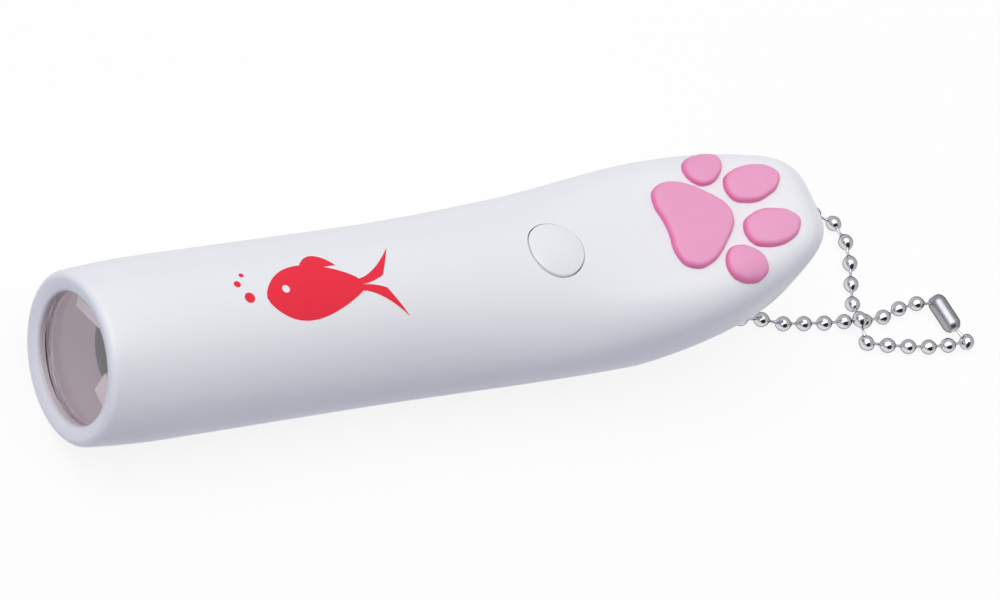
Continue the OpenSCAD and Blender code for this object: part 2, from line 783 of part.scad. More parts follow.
function pad_pegs(pad) = [for (p = pad[1]) [body_l - p[0], pad[2] * p[1]]];

// Smooth curve between the middle two of four points
function bend(a, b, c, d, t) = 0.5 * (2 * b + (c - a) * t + (2 * a - 5 * b + 4 * c - d) * t * t
  + (3 * b - a - 3 * c + d) * t * t * t);
pad_steps = 4;
function pad_outline(pad) = let (n = len(pad[0]),
    given = [for (k = [0 : n - 1]) let (p = pad[0][pad[2] > 0 ? n - 1 - k : k])
      [body_l - p[0], pad[2] * p[1]]])
  [for (i = [0 : n - 1]) for (j = [0 : pad_steps - 1])
    bend(given[(i + n - 1) % n], given[i], given[(i + 1) % n], given[(i + 2) % n], j / pad_steps)];
function middle(points) = [for (k = [0, 1]) let (v = [for (p = points) p[k]]) (min(v) + max(v)) / 2];

// Share of the outline and share of the height, from the bottom edge over the crown to its middle
pad_profile = [[1, 0.05], [1, 0.4], [0.985, 0.58], [0.94, 0.78], [0.85, 0.92], [0.6, 0.98], [0.2, 1]];
pad_under = [0.2, 0.6, 1];
function pad_ring(outline, share, lift) = let (c = middle(outline))
  [for (q = outline) let (p = mix(c, q, share)) [p[0], p[1], skin_z(p[0], p[1]) + lift]];

module pad(spec) {
  outline = pad_outline(spec);
  color(pink) on_axis() {
    loft(concat([for (f = pad_under) pad_ring(outline, f, pad_gap)],
      [for (p = pad_profile) pad_ring(outline, p[0], mix(pad_gap, pad_h, p[1]))]));
    for (p = pad_pegs(spec))
      pillar(p[0], p[1], peg_d / 2, skin_z(p[0], p[1]) - peg_l, skin_z(p[0], p[1]) + pad_h / 2);
  }
}

module main_pad() { pad(pads[0]); }
module toe_pad_far_outer() { pad(pads[1]); }
module toe_pad_far_inner() { pad(pads[2]); }
module toe_pad_near_inner() { pad(pads[3]); }
module toe_pad_near_outer() { pad(pads[4]); }

// Places of the chain's beads: out of the eyelet, along the table behind the tail,
// over itself once, and back to the eyelet. Heights run from 0 on the table to 5 at the eyelet.
chain_from = [body_l / 2 - 9, 0, axis_h + eyelet_z];
table = 0.02;
chain_steps = [[0, 0, 5], [0.66, 3.5, 4.2], [2.78, 4.13, 1.94], [5.67, 4.98, 0.3], [9.22, 6.02, 0],
  [12.79, 7.07, 0], [16.36, 8.11, 0], [19.93, 9.16, 0], [23.5, 10.2, 0], [27.07, 11.23, 0.16],
  [30.14, 9.15, 0], [30.4, 5.46, 0.31], [29.5, 1.85, 0.15], [28.08, -1.58, 0], [26.56, -4.97, 0.08],
  [25.45, -8.31, 1.09], [25.88, -11.71, 0], [29.47, -12.68, 0], [33.11, -13.44, 0],
  [36.78, -14.06, 0], [40.49, -14.32, 0], [44.21, -14.27, 0], [42.65, -10.89, 0.25], [42.01, -7.23, 0.25],
  [38.36, -6.52, 0], [34.66, -6.9, 0], [31.07, -7.87, 0], [27.37, -8.03, 0], [23.65, -7.59, 0],
  [19.95, -7.31, 0], [16.26, -6.86, 0], [12.58, -6.35, 0], [9.08, -5.08, 0.01], [5.42, -4.41, 0.06],
  [2.67, -3.9, 1.9], [0.6, -3.52, 4.22]];
beads = [for (p = chain_steps) [p[0] + chain_from[0], p[1],
  mix(bead_d / 2 + table, chain_from[2], p[2] / 5)]];
bead_n = len(beads);
clasp_at = 22;

module chain_beads() {
  color(steel) for (p = beads) translate(p) sphere(d = bead_d, $fn = 32);
}

module aim(a, b) {
  v = b - a;
  translate(a) rotate([0, acos(v[2] / norm(v)), atan2(v[1], v[0])]) children();
}

module chain_links() {
  color(steel) for (k = [0 : bead_n - 1]) if (k != clasp_at) {
    a = beads[k];
    b = beads[(k + 1) % bead_n];
    u = direction(a, b) * (bead_d / 2 - 0.15);
    aim(a + u, b - u) cylinder(d = link_d, h = norm(b - a) - 2 * norm(u), $fn = 24);
  }
}

// Clasp: a split sleeve with round ends that holds the two end beads
clasp_wall = 0.25;
clasp_play = 0.06;
clasp_slot = 0.9;
clasp_mouth = 0.9;
clasp_room = 0.3;
module capsule(h, r) {
  cylinder(r = r, h = h);
  sphere(r = r);
  translate([0, 0, h]) sphere(r = r);
}

module chain_clasp() {
  a = beads[clasp_at];
  b = beads[clasp_at + 1];
  l = norm(b - a);
  r = bead_d / 2 + clasp_play;
  color(steel) difference() {
    aim(a, b) difference() {
      capsule(l, r + clasp_wall);
      capsule(l, r);
      translate([0, 0, -bead_d]) cylinder(d = link_d + clasp_mouth, h = l + 2 * bead_d);
      translate([-2 * r, -clasp_slot / 2, -2 * r]) cube([2 * r, clasp_slot, l + 4 * r]);
    }
    aim(a, beads[clasp_at - 1]) cylinder(d = link_d + clasp_room, h = bead_d);
    aim(b, beads[clasp_at + 2]) cylinder(d = link_d + clasp_room, h = bead_d);
  }
}

body_shell();
battery_cover();
cover_screw();
screw_insert();
front_lens();
lens_ring();
lens_barrel();
picture_slide();
led_holder();
condenser_lens();
led_lamp();
led_leads();
circuit_board();
board_screws();
resistor();
switch_body();
switch_frame();
switch_plunger();
button_cap();
cell_cradle();
button_cells();
contact_plate();
contact_spring();
wire_red();
wire_black();
main_pad();
toe_pad_far_outer();
toe_pad_far_inner();
toe_pad_near_inner();
toe_pad_near_outer();
chain_beads();
chain_links();
chain_clasp();
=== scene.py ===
"""Looks of the cat light pointer: camera, ball chain, casing, optics, pads, print, inner pieces, stage."""

import math

import bmesh
import bpy
import numpy as np
from mathutils import Matrix, Vector


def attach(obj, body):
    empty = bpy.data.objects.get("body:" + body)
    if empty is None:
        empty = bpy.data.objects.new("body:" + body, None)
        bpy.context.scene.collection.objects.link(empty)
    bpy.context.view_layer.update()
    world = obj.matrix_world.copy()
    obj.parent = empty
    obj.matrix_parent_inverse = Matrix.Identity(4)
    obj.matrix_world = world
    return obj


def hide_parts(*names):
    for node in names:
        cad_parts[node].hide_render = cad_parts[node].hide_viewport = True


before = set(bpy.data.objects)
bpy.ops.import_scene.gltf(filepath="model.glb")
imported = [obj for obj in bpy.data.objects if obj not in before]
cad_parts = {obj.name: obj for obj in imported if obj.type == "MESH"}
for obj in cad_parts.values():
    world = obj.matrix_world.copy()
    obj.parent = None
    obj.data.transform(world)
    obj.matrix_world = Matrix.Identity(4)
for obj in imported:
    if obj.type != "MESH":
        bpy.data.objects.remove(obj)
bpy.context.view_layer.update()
scene = bpy.context.scene
scene.view_settings.view_transform = "Standard"
MM = 0.001

# Sizes in millimetres, as in the part's source: s runs back from the front rim, z up from the tube's axis
BODY_L, TUBE_R, TUBE_L, WALL = 122.0, 12.75, 44.0, 1.8
RIM_R, LIP_R, FOOT_CUT, NOSE_SOLID = 1.0, 0.5, 0.7, 15.0
FRONT_DROP, FRONT_DROP_L = 0.7, 13.0
PAW_W, PAW_BACK, GRIP_H, BUTTON_BACK = 28.3, 32.4, 12.1, 47.5
SWEEP_R, MID_RISE, HEEL_BACK, TAIL_ROUND, TOP_FLAT = 132.0, 4.8, 30.6, 8.7, 4.4
ROUND_E, TAIL_E, HEEL_E, NOSE_E = 2.0, 2.0, 1.05, 1.8
FLAT_FROM, FLAT_TO, MID_END = BODY_L - 49, BODY_L - 12, BODY_L - TAIL_ROUND + 3
AXIS_H = TUBE_R - FOOT_CUT
PAW_S, BUTTON_S, HEEL_S = BODY_L - PAW_BACK, BODY_L - BUTTON_BACK, BODY_L - HEEL_BACK
CAVITY_END = BODY_L - NOSE_SOLID
SEAM_Z, COVER_FROM, COVER_TO, COVER_GAP = -2.8, 57.0, BODY_L - 18.5, 0.12
OPTICS_R, BORE_R, BORE_END, OPEN_R, LIP_T = 10.1, 10.16, 45.0, 9.2, 1.6
BUTTON_R, BUTTON_GAP, BUTTON_UP = 4.5, 0.15, 0.7
PAD_H, PAD_GAP, PEG_R, PEG_L = 1.1, 0.05, 1.0, 2.6
SCREW_S, POST_LOW = 81.18, -5.2
BEAD_R, LINK_R = 1.15, 0.3

# Sizes of the scene alone: a dished front rim, a smaller button that follows the casing, softened edges
DISH = 0.5
BUTTON_SHOWN, BUTTON_EDGE_UP, BUTTON_SOFT = BUTTON_R - 0.15, 0.2, 0.3
CASING_BEVEL, BUTTON_BEVEL, RING_BEVEL = 0.1, 0.08, 0.15
# Radius next to nothing, where a shape closes on its axis
DOT = 0.02


# Camera
def make_camera():
    data = bpy.data.cameras.new("camera")
    data.sensor_width, data.lens = 36.0, 180.41
    data.clip_start, data.clip_end = 0.02, 20.0
    place = Vector((-0.38912, -0.26496, 0.54650))
    back = Vector((-0.5560, -0.36835, 0.74511)).normalized()
    up = Vector((0.12292, 0.85014, 0.5120))
    right = up.cross(back).normalized()
    up = back.cross(right)
    camera = bpy.data.objects.new("camera", data)
    turn = Matrix((right, up, back)).transposed().to_4x4()
    camera.matrix_world = Matrix.Translation(place) @ turn
    scene.collection.objects.link(camera)
    scene.camera = camera


make_camera()


# Shader nodes
def add_node(tree, kind, values=(), **settings):
    """A node with its settings, and plain values for some of its inputs."""
    node = tree.nodes.new("ShaderNode" + kind)
    for label, value in settings.items():
        setattr(node, label, value)
    for label, value in values:
        node.inputs[label].default_value = value
    return node


def add_fade(tree, start, end, low=0.0, high=1.0):
    """Goes smoothly from low to high as its value goes from start to end."""
    values = (("From Min", start), ("From Max", end), ("To Min", low), ("To Max", high))
    return add_node(tree, "MapRange", values, interpolation_type="SMOOTHSTEP")


def wire(tree, *links):
    """Links, each given as a node and its output, then a node and its input."""
    for source, output, target, socket in links:
        tree.links.new(source.outputs[output], target.inputs[socket])


# Shader groups: effects that several finishes share
NOISE_LOW, NOISE_HIGH, RELIEF, RELIEF_DEEP = 0.2, 0.8, 0.05, 0.01


def new_group(name, colours, values):
    """A group with colour and value inputs, which puts out a colour, a roughness and a height."""
    tree = bpy.data.node_groups.new(name, "ShaderNodeTree")
    colour, value = "NodeSocketColor", "NodeSocketFloat"
    inputs = [(label, colour, (*given, 1)) for label, given in colours.items()]
    inputs += [(label, value, given) for label, given in values.items()]
    for label, kind, given in inputs:
        tree.interface.new_socket(label, in_out="INPUT", socket_type=kind).default_value = given
    for label, kind in (("Colour", colour), ("Roughness", value), ("Height", value)):
        tree.interface.new_socket(label, in_out="OUTPUT", socket_type=kind)
    return tree, tree.nodes.new("NodeGroupInput"), tree.nodes.new("NodeGroupOutput")


def add_noise(tree, given, scale, detail):
    """Noise in the piece's own space, at a scale that the group is given."""
    place, noise = add_node(tree, "TexCoord"), add_node(tree, "TexNoise", [("Detail", detail)])
    wire(tree, (place, "Object", noise, "Vector"), (given, scale, noise, "Scale"))
    return noise


def spread(tree, given, out, noise, first, second):
    """Lets a noise run between two of the group's colours and between its two roughness limits."""
    tint, rough = add_node(tree, "Mix", data_type="RGBA"), add_fade(tree, NOISE_LOW, NOISE_HIGH)
    wire(tree, (noise, "Fac", tint, "Factor"), (given, first, tint, "A"), (given, second, tint, "B"),
         (noise, "Fac", rough, "Value"), (given, "Rough Low", rough, "To Min"),
         (given, "Rough High", rough, "To Max"), (tint, "Result", out, "Colour"),
         (rough, "Result", out, "Roughness"))


def moulded_skin_group():
    """Soft mottling of colour and gloss, with a fine moulding grain."""
    tree, given, out = new_group(
        "moulded_skin", {"Colour": (0.8, 0.8, 0.8), "Shade": (0.7, 0.7, 0.7)},
        {"Patch Scale": 120.0, "Grain Scale": 5000.0, "Rough Low": 0.25, "Rough High": 0.4})
    patch = add_noise(tree, given, "Patch Scale", detail=4.0)
    grain = add_noise(tree, given, "Grain Scale", detail=2.0)
    spread(tree, given, out, patch, "Colour", "Shade")
    wire(tree, (grain, "Fac", out, "Height"))
    return tree


def worked_metal_group():
    """Streaks and tarnish of a drawn, stamped or plated metal."""
    tree, given, out = new_group(
        "worked_metal", {"Bright": (0.8, 0.8, 0.82), "Dull": (0.5, 0.5, 0.52)},
        {"Streak Scale": 900.0, "Rough Low": 0.1, "Rough High": 0.3})
    streak = add_noise(tree, given, "Streak Scale", detail=5.0)
    streak.inputs["Roughness"].default_value = 0.65
    spread(tree, given, out, streak, "Bright", "Dull")
    wire(tree, (streak, "Fac", out, "Height"))
    return tree


MOULDED, METAL = moulded_skin_group(), worked_metal_group()


def new_finish(name, group, values, plain):
    """A material whose gloss comes from a shared group; plain values sit on the shader itself."""
    made = bpy.data.materials.new(name)
    made.use_nodes = True
    tree = made.node_tree
    shader, effect = tree.nodes["Principled BSDF"], add_node(tree, "Group", node_tree=group)
    for label, value in values.items():
        effect.inputs[label].default_value = (*value, 1) if isinstance(value, tuple) else value
    for label, value in plain.items():
        shader.inputs[label.replace("_", " ")].default_value = value
    wire(tree, (effect, "Roughness", shader, "Roughness"))
    return made, shader, effect


def finish(name, group, values, **plain):
    """A finish whose colour and relief come from the group too."""
    made, shader, effect = new_finish(name, group, values, plain)
    relief = add_node(made.node_tree, "Bump", [("Strength", RELIEF), ("Distance", RELIEF_DEEP * MM)])
    wire(made.node_tree, (effect, "Colour", shader, "Base Color"), (effect, "Height", relief, "Height"),
         (relief, "Normal", shader, "Normal"))
    return made


def plastic(name, colour, shade, low, high, patch=120.0, **plain):
    values = {"Colour": colour, "Shade": shade, "Rough Low": low, "Rough High": high, "Patch Scale": patch}
    return finish(name, MOULDED, values, **plain)


def metal(name, bright, dull, low, high, streak, **plain):
    values = {"Bright": bright, "Dull": dull, "Rough Low": low, "Rough High": high, "Streak Scale": streak}
    return finish(name, METAL, values, Metallic=1.0, **plain)


CASING_WHITE, CASING_SHADE = (0.86, 0.86, 0.885), (0.84, 0.84, 0.87)
# The pads' sides get a deeper, darker pink than their tops: painted shade
PAD_TOP, PAD_SIDE_PAINTED_SHADE, PAD_SHADE, PAD_PAINTED_SHADE_SHARE = (0.86, 0.348, 0.562), (0.88, 0.19, 0.44), 0.95, "pad_painted_side_shade"
# Painted shade for the white wall inside the front opening, with the mauve cast of light bounced from the
# inside
MOUTH_PAINTED_SHADE = (0.66, 0.58, 0.64)
# A black specular tint darkens the metal's reflection towards grazing angles: painted dark outlines, in
# place of the dark surroundings that the beads would reflect
PAINTED_DARK_EDGE = (0.0, 0.0, 0.0, 1.0)
WHITE = plastic("white_casing_gloss", CASING_WHITE, CASING_SHADE, 0.29, 0.36, Coat_Weight=0.25)
BUTTON_WHITE = plastic("white_button_gloss", CASING_WHITE, CASING_SHADE, 0.12, 0.18, Coat_Weight=0.6)
PINK = plastic("pink_pad_satin", PAD_TOP, PAD_TOP, 0.34, 0.44, patch=300.0)
RED = plastic("red_print_ink", (0.88, 0.026, 0.056), (0.84, 0.022, 0.050), 0.34, 0.42, patch=500.0,
              Specular_IOR_Level=0.25)
PALE_INK = plastic("pale_print_ink", (0.88, 0.86, 0.87), (0.84, 0.82, 0.83), 0.3, 0.42, patch=500.0)
# The ring's finish has a faint mauve emission: a painted glow that lights the inside of the mouth, though
# the ring is no lamp
RING_MAUVE_PAINTED_GLOW = plastic("mauve_ring_satin_painted_glow", (0.88, 0.76, 0.82), (0.84, 0.72, 0.78), 0.3, 0.42, patch=200.0,
                     Emission_Color=(0.95, 0.74, 0.84, 1.0), Emission_Strength=0.1)
BARREL = plastic("dark_barrel_satin", (0.022, 0.021, 0.024), (0.032, 0.030, 0.034), 0.29, 0.36, patch=200.0,
                 Specular_IOR_Level=0.25)
BLACK = plastic("black_satin", (0.020, 0.020, 0.022), (0.034, 0.034, 0.036), 0.29, 0.4, patch=300.0)
FILM = plastic("dark_film", (0.012, 0.012, 0.014), (0.024, 0.022, 0.026), 0.08, 0.16)
LAMP = plastic("lamp_resin", (0.82, 0.86, 0.90), (0.76, 0.80, 0.86), 0.05, 0.1)
BOARD = plastic("green_board_lacquer", (0.012, 0.10, 0.035), (0.02, 0.14, 0.05), 0.29, 0.4, patch=700.0)
BEIGE = plastic("beige_resistor_lacquer", (0.60, 0.45, 0.22), (0.52, 0.38, 0.18), 0.35, 0.5, patch=900.0)
PALE = plastic("pale_plunger_satin", (0.62, 0.62, 0.65), (0.56, 0.56, 0.6), 0.35, 0.5)
WIRE_RED = plastic("red_wire_cover", (0.45, 0.012, 0.012), (0.38, 0.01, 0.01), 0.3, 0.45, patch=800.0)
WIRE_BLACK = plastic("black_wire_cover", (0.015, 0.015, 0.015), (0.03, 0.03, 0.03), 0.3, 0.45, patch=800.0)
# The chain and its clasp take the painted dark outline on their reflection
CHAIN = metal("bright_chain_plate", (0.84, 0.84, 0.85), (0.66, 0.66, 0.68), 0.05, 0.13, 700.0,
              Specular_Tint=PAINTED_DARK_EDGE)
CLASP = metal("satin_clasp_plate", (0.50, 0.50, 0.52), (0.38, 0.38, 0.40), 0.29, 0.36, 700.0,
              Specular_Tint=PAINTED_DARK_EDGE)
STEEL = metal("dull_steel", (0.62, 0.62, 0.64), (0.42, 0.42, 0.44), 0.29, 0.42, 1200.0)
BRASS = metal("yellow_brass", (0.72, 0.50, 0.18), (0.52, 0.34, 0.11), 0.29, 0.4, 1000.0)


def paint_pad_side_shade(made, top_colour, painted_shade_colour):
    """Runs the colour from the pad's top to a deeper, darker pink down its sides, painted shade, by the
    share kept in the mesh.
    """
    tree = made.node_tree
    effect = tree.nodes["Group"]
    share = add_node(tree, "Attribute", attribute_name=PAD_PAINTED_SHADE_SHARE)
    for label, tone in (("Colour", 1.0), ("Shade", PAD_SHADE)):
        ends = [("A", (*(tone * c for c in top_colour), 1)), ("B", (*(tone * c for c in painted_shade_colour), 1))]
        pair = add_node(tree, "Mix", data_type="RGBA", values=ends)
        wire(tree, (share, "Fac", pair, "Factor"), (pair, "Result", effect, label))


# The mouth's painted shade, mauve from bounced light, grows between two places behind the rim and two radii,
# and narrows towards the tail
MOUTH_FROM, MOUTH_FULL, MOUTH_OUT_R, MOUTH_IN_R, MOUTH_TAPER = 0.1, 0.9, 9.75, 9.3, 0.3


def paint_mouth_shade(made, tint):
    """Paints shade, mauve from bounced light, on the casing's skin inside the front opening, fading out over
    the lip.
    """
    tree = made.node_tree
    shader, effect = tree.nodes["Principled BSDF"], tree.nodes["Group"]
    front = BODY_L / 2
    squeeze, shift = (MOUTH_TAPER, 1.0, 1.0), (MOUTH_TAPER * front * MM, 0.0, -AXIS_H * MM)
    place, split = add_node(tree, "TexCoord"), add_node(tree, "SeparateXYZ")
    across = add_node(tree, "VectorMath", operation="MULTIPLY_ADD", values=[(1, squeeze), (2, shift)])
    reach = add_node(tree, "VectorMath", operation="LENGTH")
    deep = add_fade(tree, (MOUTH_FROM - front) * MM, (MOUTH_FULL - front) * MM)
    near = add_fade(tree, MOUTH_OUT_R * MM, MOUTH_IN_R * MM)
    both = add_node(tree, "Math", operation="MULTIPLY")
    blend = add_node(tree, "Mix", data_type="RGBA", values=[("B", (*tint, 1))])
    wire(tree, (place, "Object", across, 0), (across, "Vector", reach, 0), (reach, "Value", near, "Value"),
         (place, "Object", split, 0), (split, "X", deep, "Value"), (near, "Result", both, 0),
         (deep, "Result", both, 1), (both, 0, blend, "Factor"), (effect, "Colour", blend, "A"),
         (blend, "Result", shader, "Base Color"))


def clear_glass(name, colour, low, high, bend=1.49, patch=250.0):
    """Clear plastic that bends light, with a slight unevenness of its gloss."""
    values = {"Rough Low": low, "Rough High": high, "Patch Scale": patch}
    plain = {"Transmission Weight": 1.0, "IOR": bend, "Base Color": (*colour, 1)}
    return new_finish(name, MOULDED, values, plain)[0]


GLASS = clear_glass("clear_lens_plastic", (0.97, 0.95, 0.97), 0.0, 0.03)
paint_pad_side_shade(PINK, PAD_TOP, PAD_SIDE_PAINTED_SHADE)
# The casing's finish gets the painted shade inside its mouth
paint_mouth_shade(WHITE, MOUTH_PAINTED_SHADE)


# Mesh helpers: points are in millimetres, measured as in the part's source
def place_points(points):
    p = np.asarray(points, float).copy()
    p[:, 0] -= BODY_L / 2
    p[:, 2] += AXIS_H
    return p * MM


def face_outward(mesh):
    work = bmesh.new()
    work.from_mesh(mesh)
    bmesh.ops.recalc_face_normals(work, faces=work.faces)
    work.to_mesh(mesh)
    work.free()


SHARP_ANGLE, BEVEL_ANGLE, BEVEL_STEPS = 38, 42, 2


def make_piece(name, solid, body, paint, replaces=(), bevel=None, on_table=False, sharp=SHARP_ANGLE):
    """One piece of the scene; its points are already in the part's frame where it lies on the table."""
    mesh = bpy.data.meshes.new(name)
    where = np.asarray(solid.points, float) * MM if on_table else place_points(solid.points)
    mesh.from_pydata([tuple(p) for p in where], [], solid.faces)
    mesh.validate()
    face_outward(mesh)
    mesh.polygons.foreach_set("use_smooth", [True] * len(mesh.polygons))
    mesh.set_sharp_from_angle(angle=math.radians(sharp))
    mesh.materials.append(paint)
    piece = bpy.data.objects.new(name, mesh)
    scene.collection.objects.link(piece)
    if bevel:
        edge = piece.modifiers.new("soft_edge", "BEVEL")
        edge.width, edge.segments = bevel * MM, BEVEL_STEPS
        edge.limit_method, edge.angle_limit = "ANGLE", math.radians(BEVEL_ANGLE)
    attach(piece, body)
    if replaces:
        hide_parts(*replaces)
    return piece


class Solid:
    """Points and faces of one piece, gathered from several shapes."""

    def __init__(self):
        self.points, self.faces = [], []

    def ring(self, points):
        base = len(self.points)
        self.points.extend(tuple(p) for p in points)
        return list(range(base, len(self.points)))

    def band(self, a, b, closed=True):
        n = len(a)
        for k in range(n if closed else n - 1):
            m = (k + 1) % n
            self.faces.append((a[k], b[k], b[m], a[m]))

    def cap(self, ring, flip=False):
        self.faces.append(tuple(reversed(ring)) if flip else tuple(ring))

    def loft(self, rings, closed=True, capped=False):
        """Bands from ring to ring, with both ends closed where capped."""
        for a, b in zip(rings, rings[1:]):
            self.band(b, a, closed)
        if capped:
            self.cap(rings[0], flip=True)
            self.cap(rings[-1])

    def turned(self, profile, centre, sides, axis="z", closed=True):
        """A closed or a capped profile of (radius, height), turned about z or x through centre."""
        turn = [2 * math.pi * k / sides for k in range(sides)]
        rings = []
        for r, h in profile:
            spots = [(r * math.cos(a), r * math.sin(a)) for a in turn]
            places = [(c, d, h) if axis == "z" else (h, c, d) for c, d in spots]
            rings.append(self.ring([[centre[i] + p[i] for i in range(3)] for p in places]))
        self.loft(rings + rings[:1] if closed else rings, capped=not closed)

    def box(self, low, high):
        x, y, z = zip(low, high)
        p = self.ring([(x[i], y[j], z[k]) for i in (0, 1) for j in (0, 1) for k in (0, 1)])
        sides = ((0, 1, 3, 2), (4, 6, 7, 5), (0, 4, 5, 1), (2, 3, 7, 6), (0, 2, 6, 4), (1, 5, 7, 3))
        self.faces.extend(tuple(p[k] for k in side) for side in sides)


def tube_profile(inner, outer, low, high):
    return [(inner, low), (outer, low), (outer, high), (inner, high)]


# Lines of the casing at a distance s behind the front rim
def ease(t):
    u = min(max(t, 0.0), 1.0)
    return u * u * (3 - 2 * u)


def mix(a, b, t):
    return a + (b - a) * t


def round_off(u, e):
    return (1 - min(max(u, 0.0), 1.0) ** e) ** (1 / e)


def front_r(s):
    return TUBE_R - FRONT_DROP * (1 - min(max(s / FRONT_DROP_L, 0.0), 1.0)) ** 2


def half_w(s):
    if s <= PAW_S:
        return mix(TUBE_R, PAW_W / 2, ease((s - TUBE_L) / (PAW_S - TUBE_L)))
    return PAW_W / 2 * round_off((s - PAW_S) / (BODY_L - PAW_S), TAIL_E)


def mid_z(s):
    return MID_RISE * ease((s - TUBE_L) / (MID_END - TUBE_L))


def top_z(s):
    if s <= BUTTON_S:
        rise = mix(TUBE_R, GRIP_H, ease((s - TUBE_L) / (BUTTON_S - TUBE_L)))
    else:
        rise = GRIP_H + (s - BUTTON_S) ** 2 / (2 * SWEEP_R)
    return mid_z(s) + (rise - mid_z(s)) * round_off((s - BODY_L + TAIL_ROUND) / TAIL_ROUND, NOSE_E)


def low_z(s):
    return mid_z(s) - (mid_z(s) + TUBE_R) * round_off((s - HEEL_S) / (BODY_L - HEEL_S), HEEL_E)


def flatness(s):
    return mix(ROUND_E, TOP_FLAT, ease((s - FLAT_FROM) / (FLAT_TO - FLAT_FROM)))


def skin_z(s, y):
    n = flatness(s)
    return mid_z(s) + (top_z(s) - mid_z(s)) * (1 - min(abs(y) / half_w(s), 1.0) ** n) ** (1 / n)


def low_skin_z(s, y):
    z = mid_z(s) - (mid_z(s) - low_z(s)) * math.sqrt(1 - min(abs(y) / half_w(s), 1.0) ** 2)
    return max(z, -AXIS_H)


# Rings of the casing: the upper arc runs from seam to seam over the top, the lower arc closes it below
N_UP, N_LOW, SEAM_LIMIT = 96, 56, 0.97
ARC_SHARES = np.linspace(0, 1, 900)


def seam_angle(s, level):
    at = min(max(s, 0.0), COVER_TO)
    down = mid_z(at) - low_z(at)
    return -math.asin(min(max((mid_z(at) - level) / down, 0.0), SEAM_LIMIT))


def arc_points(s, start, end, count, inset, low_inset):
    a = mix(start, end, ARC_SHARES)
    c, d = np.cos(a), np.sin(a)
    e = np.where(d >= 0, 2 / flatness(s), 1.0)
    w, m = half_w(s) - inset, mid_z(s)
    up, down = top_z(s) - inset - m, m - low_z(s) - low_inset
    y = w * np.sign(c) * np.abs(c) ** e
    z = m + np.where(d >= 0, up, down) * np.sign(d) * np.abs(d) ** e
    run = np.concatenate([[0], np.cumsum(np.hypot(np.diff(y), np.diff(z)))])
    at = np.linspace(0, run[-1], count + 1)
    return np.interp(at, run, y), np.interp(at, run, z)


def casing_ring(s, place=None, inset=0.0):
    a = seam_angle(s, SEAM_Z)
    foot = FOOT_CUT if inset else 0.0
    yu, zu = arc_points(s, a, math.pi - a, N_UP, inset, inset + foot)
    yl, zl = arc_points(s, math.pi - a, 2 * math.pi + a, N_LOW, inset, inset + foot)
    y, z = np.concatenate([yu[:-1], yl[:-1]]), np.concatenate([zu[:-1], zl[:-1]])
    if not inset:
        z = np.maximum(z, -AXIS_H)
    x = np.full(len(y), s if place is None else place)
    return np.column_stack([x, y, z])


def round_ring(s, r):
    """A round ring with as many points as casing_ring gives, flat at the foot."""
    a = seam_angle(0.0, SEAM_Z)
    turn = np.concatenate([np.linspace(a, math.pi - a, N_UP + 1)[:-1],
                           np.linspace(math.pi - a, 2 * math.pi + a, N_LOW + 1)[:-1]])
    z = np.maximum(r * np.sin(turn), -AXIS_H)
    return np.column_stack([np.full(N_UP + N_LOW, s), r * np.cos(turn), z])


HOLE_EASE, EDGE_STEPS = 1.6, 4


def round_hole(solid, loop, centre, radius, skin, soft, depth, steps=9):
    """Fills a loop of skin points down to a round hole with a softened edge and a straight wall."""
    spots = [solid.points[k] for k in loop]
    turn = [math.atan2(p[1] - centre[1], p[0] - centre[0]) for p in spots]
    edge, sign = radius + soft, math.copysign(1, depth)

    def circle(r):
        return [(centre[0] + r * math.cos(a), centre[1] + r * math.sin(a)) for a in turn]

    def step_in(last, places, drop):
        ring = solid.ring([(s, y, skin(s, y) - drop) for s, y in places])
        solid.band(last, ring)
        return ring

    last = loop
    for k in range(1, steps + 1):
        t = 1 - (1 - k / steps) ** HOLE_EASE
        between = [(mix(p[0], q[0], t), mix(p[1], q[1], t)) for p, q in zip(spots, circle(edge))]
        last = step_in(last, between, 0.0)
    for k in range(1, EDGE_STEPS + 1):
        b = math.pi / 2 * k / EDGE_STEPS
        last = step_in(last, circle(edge - soft * math.sin(b)), sign * soft * (1 - math.cos(b)))
    return step_in(last, circle(radius), depth)


def border(rings, j0, j1):
    """The border of a block of the grid, in order round it, between two columns."""
    loop = rings[0][j0:j1] + [ring[j1] for ring in rings[:-1]]
    return loop + rings[-1][j1:j0:-1] + [ring[j0] for ring in rings[:0:-1]]


TAIL_ROWS, TAIL_TIP, BORE_CLEAR = 34, 0.06, 0.5
LIP_END, LIP_STEPS, RIM_STEPS = 0.35, 7, 13


def stations():
    """Places along the casing behind the rounded rim, closer together towards the tail's tip."""
    runs = ((RIM_R, FRONT_DROP_L, 9), (FRONT_DROP_L, TUBE_L, 10), (TUBE_L, COVER_FROM, 9),
            (COVER_FROM, COVER_TO, 62))
    rows = [s for start, end, count in runs for s in np.linspace(start, end, count + 1)[1:]]
    turns = [math.pi / 2 * k / TAIL_ROWS for k in range(1, TAIL_ROWS + 1)]
    return rows + [mix(COVER_TO, BODY_L, math.sin(a)) for a in turns]


def front_profile():
    """Distance and radius from the end of the optics bore, through the opening's lip and round the rim."""
    bore = [(BORE_END, TUBE_R - WALL), (BORE_END, BORE_R), (LIP_T, BORE_R), (LIP_T, OPEN_R)]
    lip = [(DISH + LIP_R * (1 - math.cos(a)), OPEN_R + LIP_R * (1 - math.sin(a)))
           for a in np.linspace(math.pi / 2, LIP_END, LIP_STEPS)]
    rim = []
    for a in np.linspace(0, math.pi / 2, RIM_STEPS):
        s = RIM_R * (1 - math.cos(a))
        rim.append((s, front_r(s) - RIM_R + RIM_R * math.sin(a)))
    return bore + lip + rim


def outer_ring(s):
    """The casing's outside at s; at the tail's tip it has the shape just before it."""
    if s < FRONT_DROP_L:
        return round_ring(s, front_r(s))
    return casing_ring(min(s, BODY_L - TAIL_TIP), place=s)


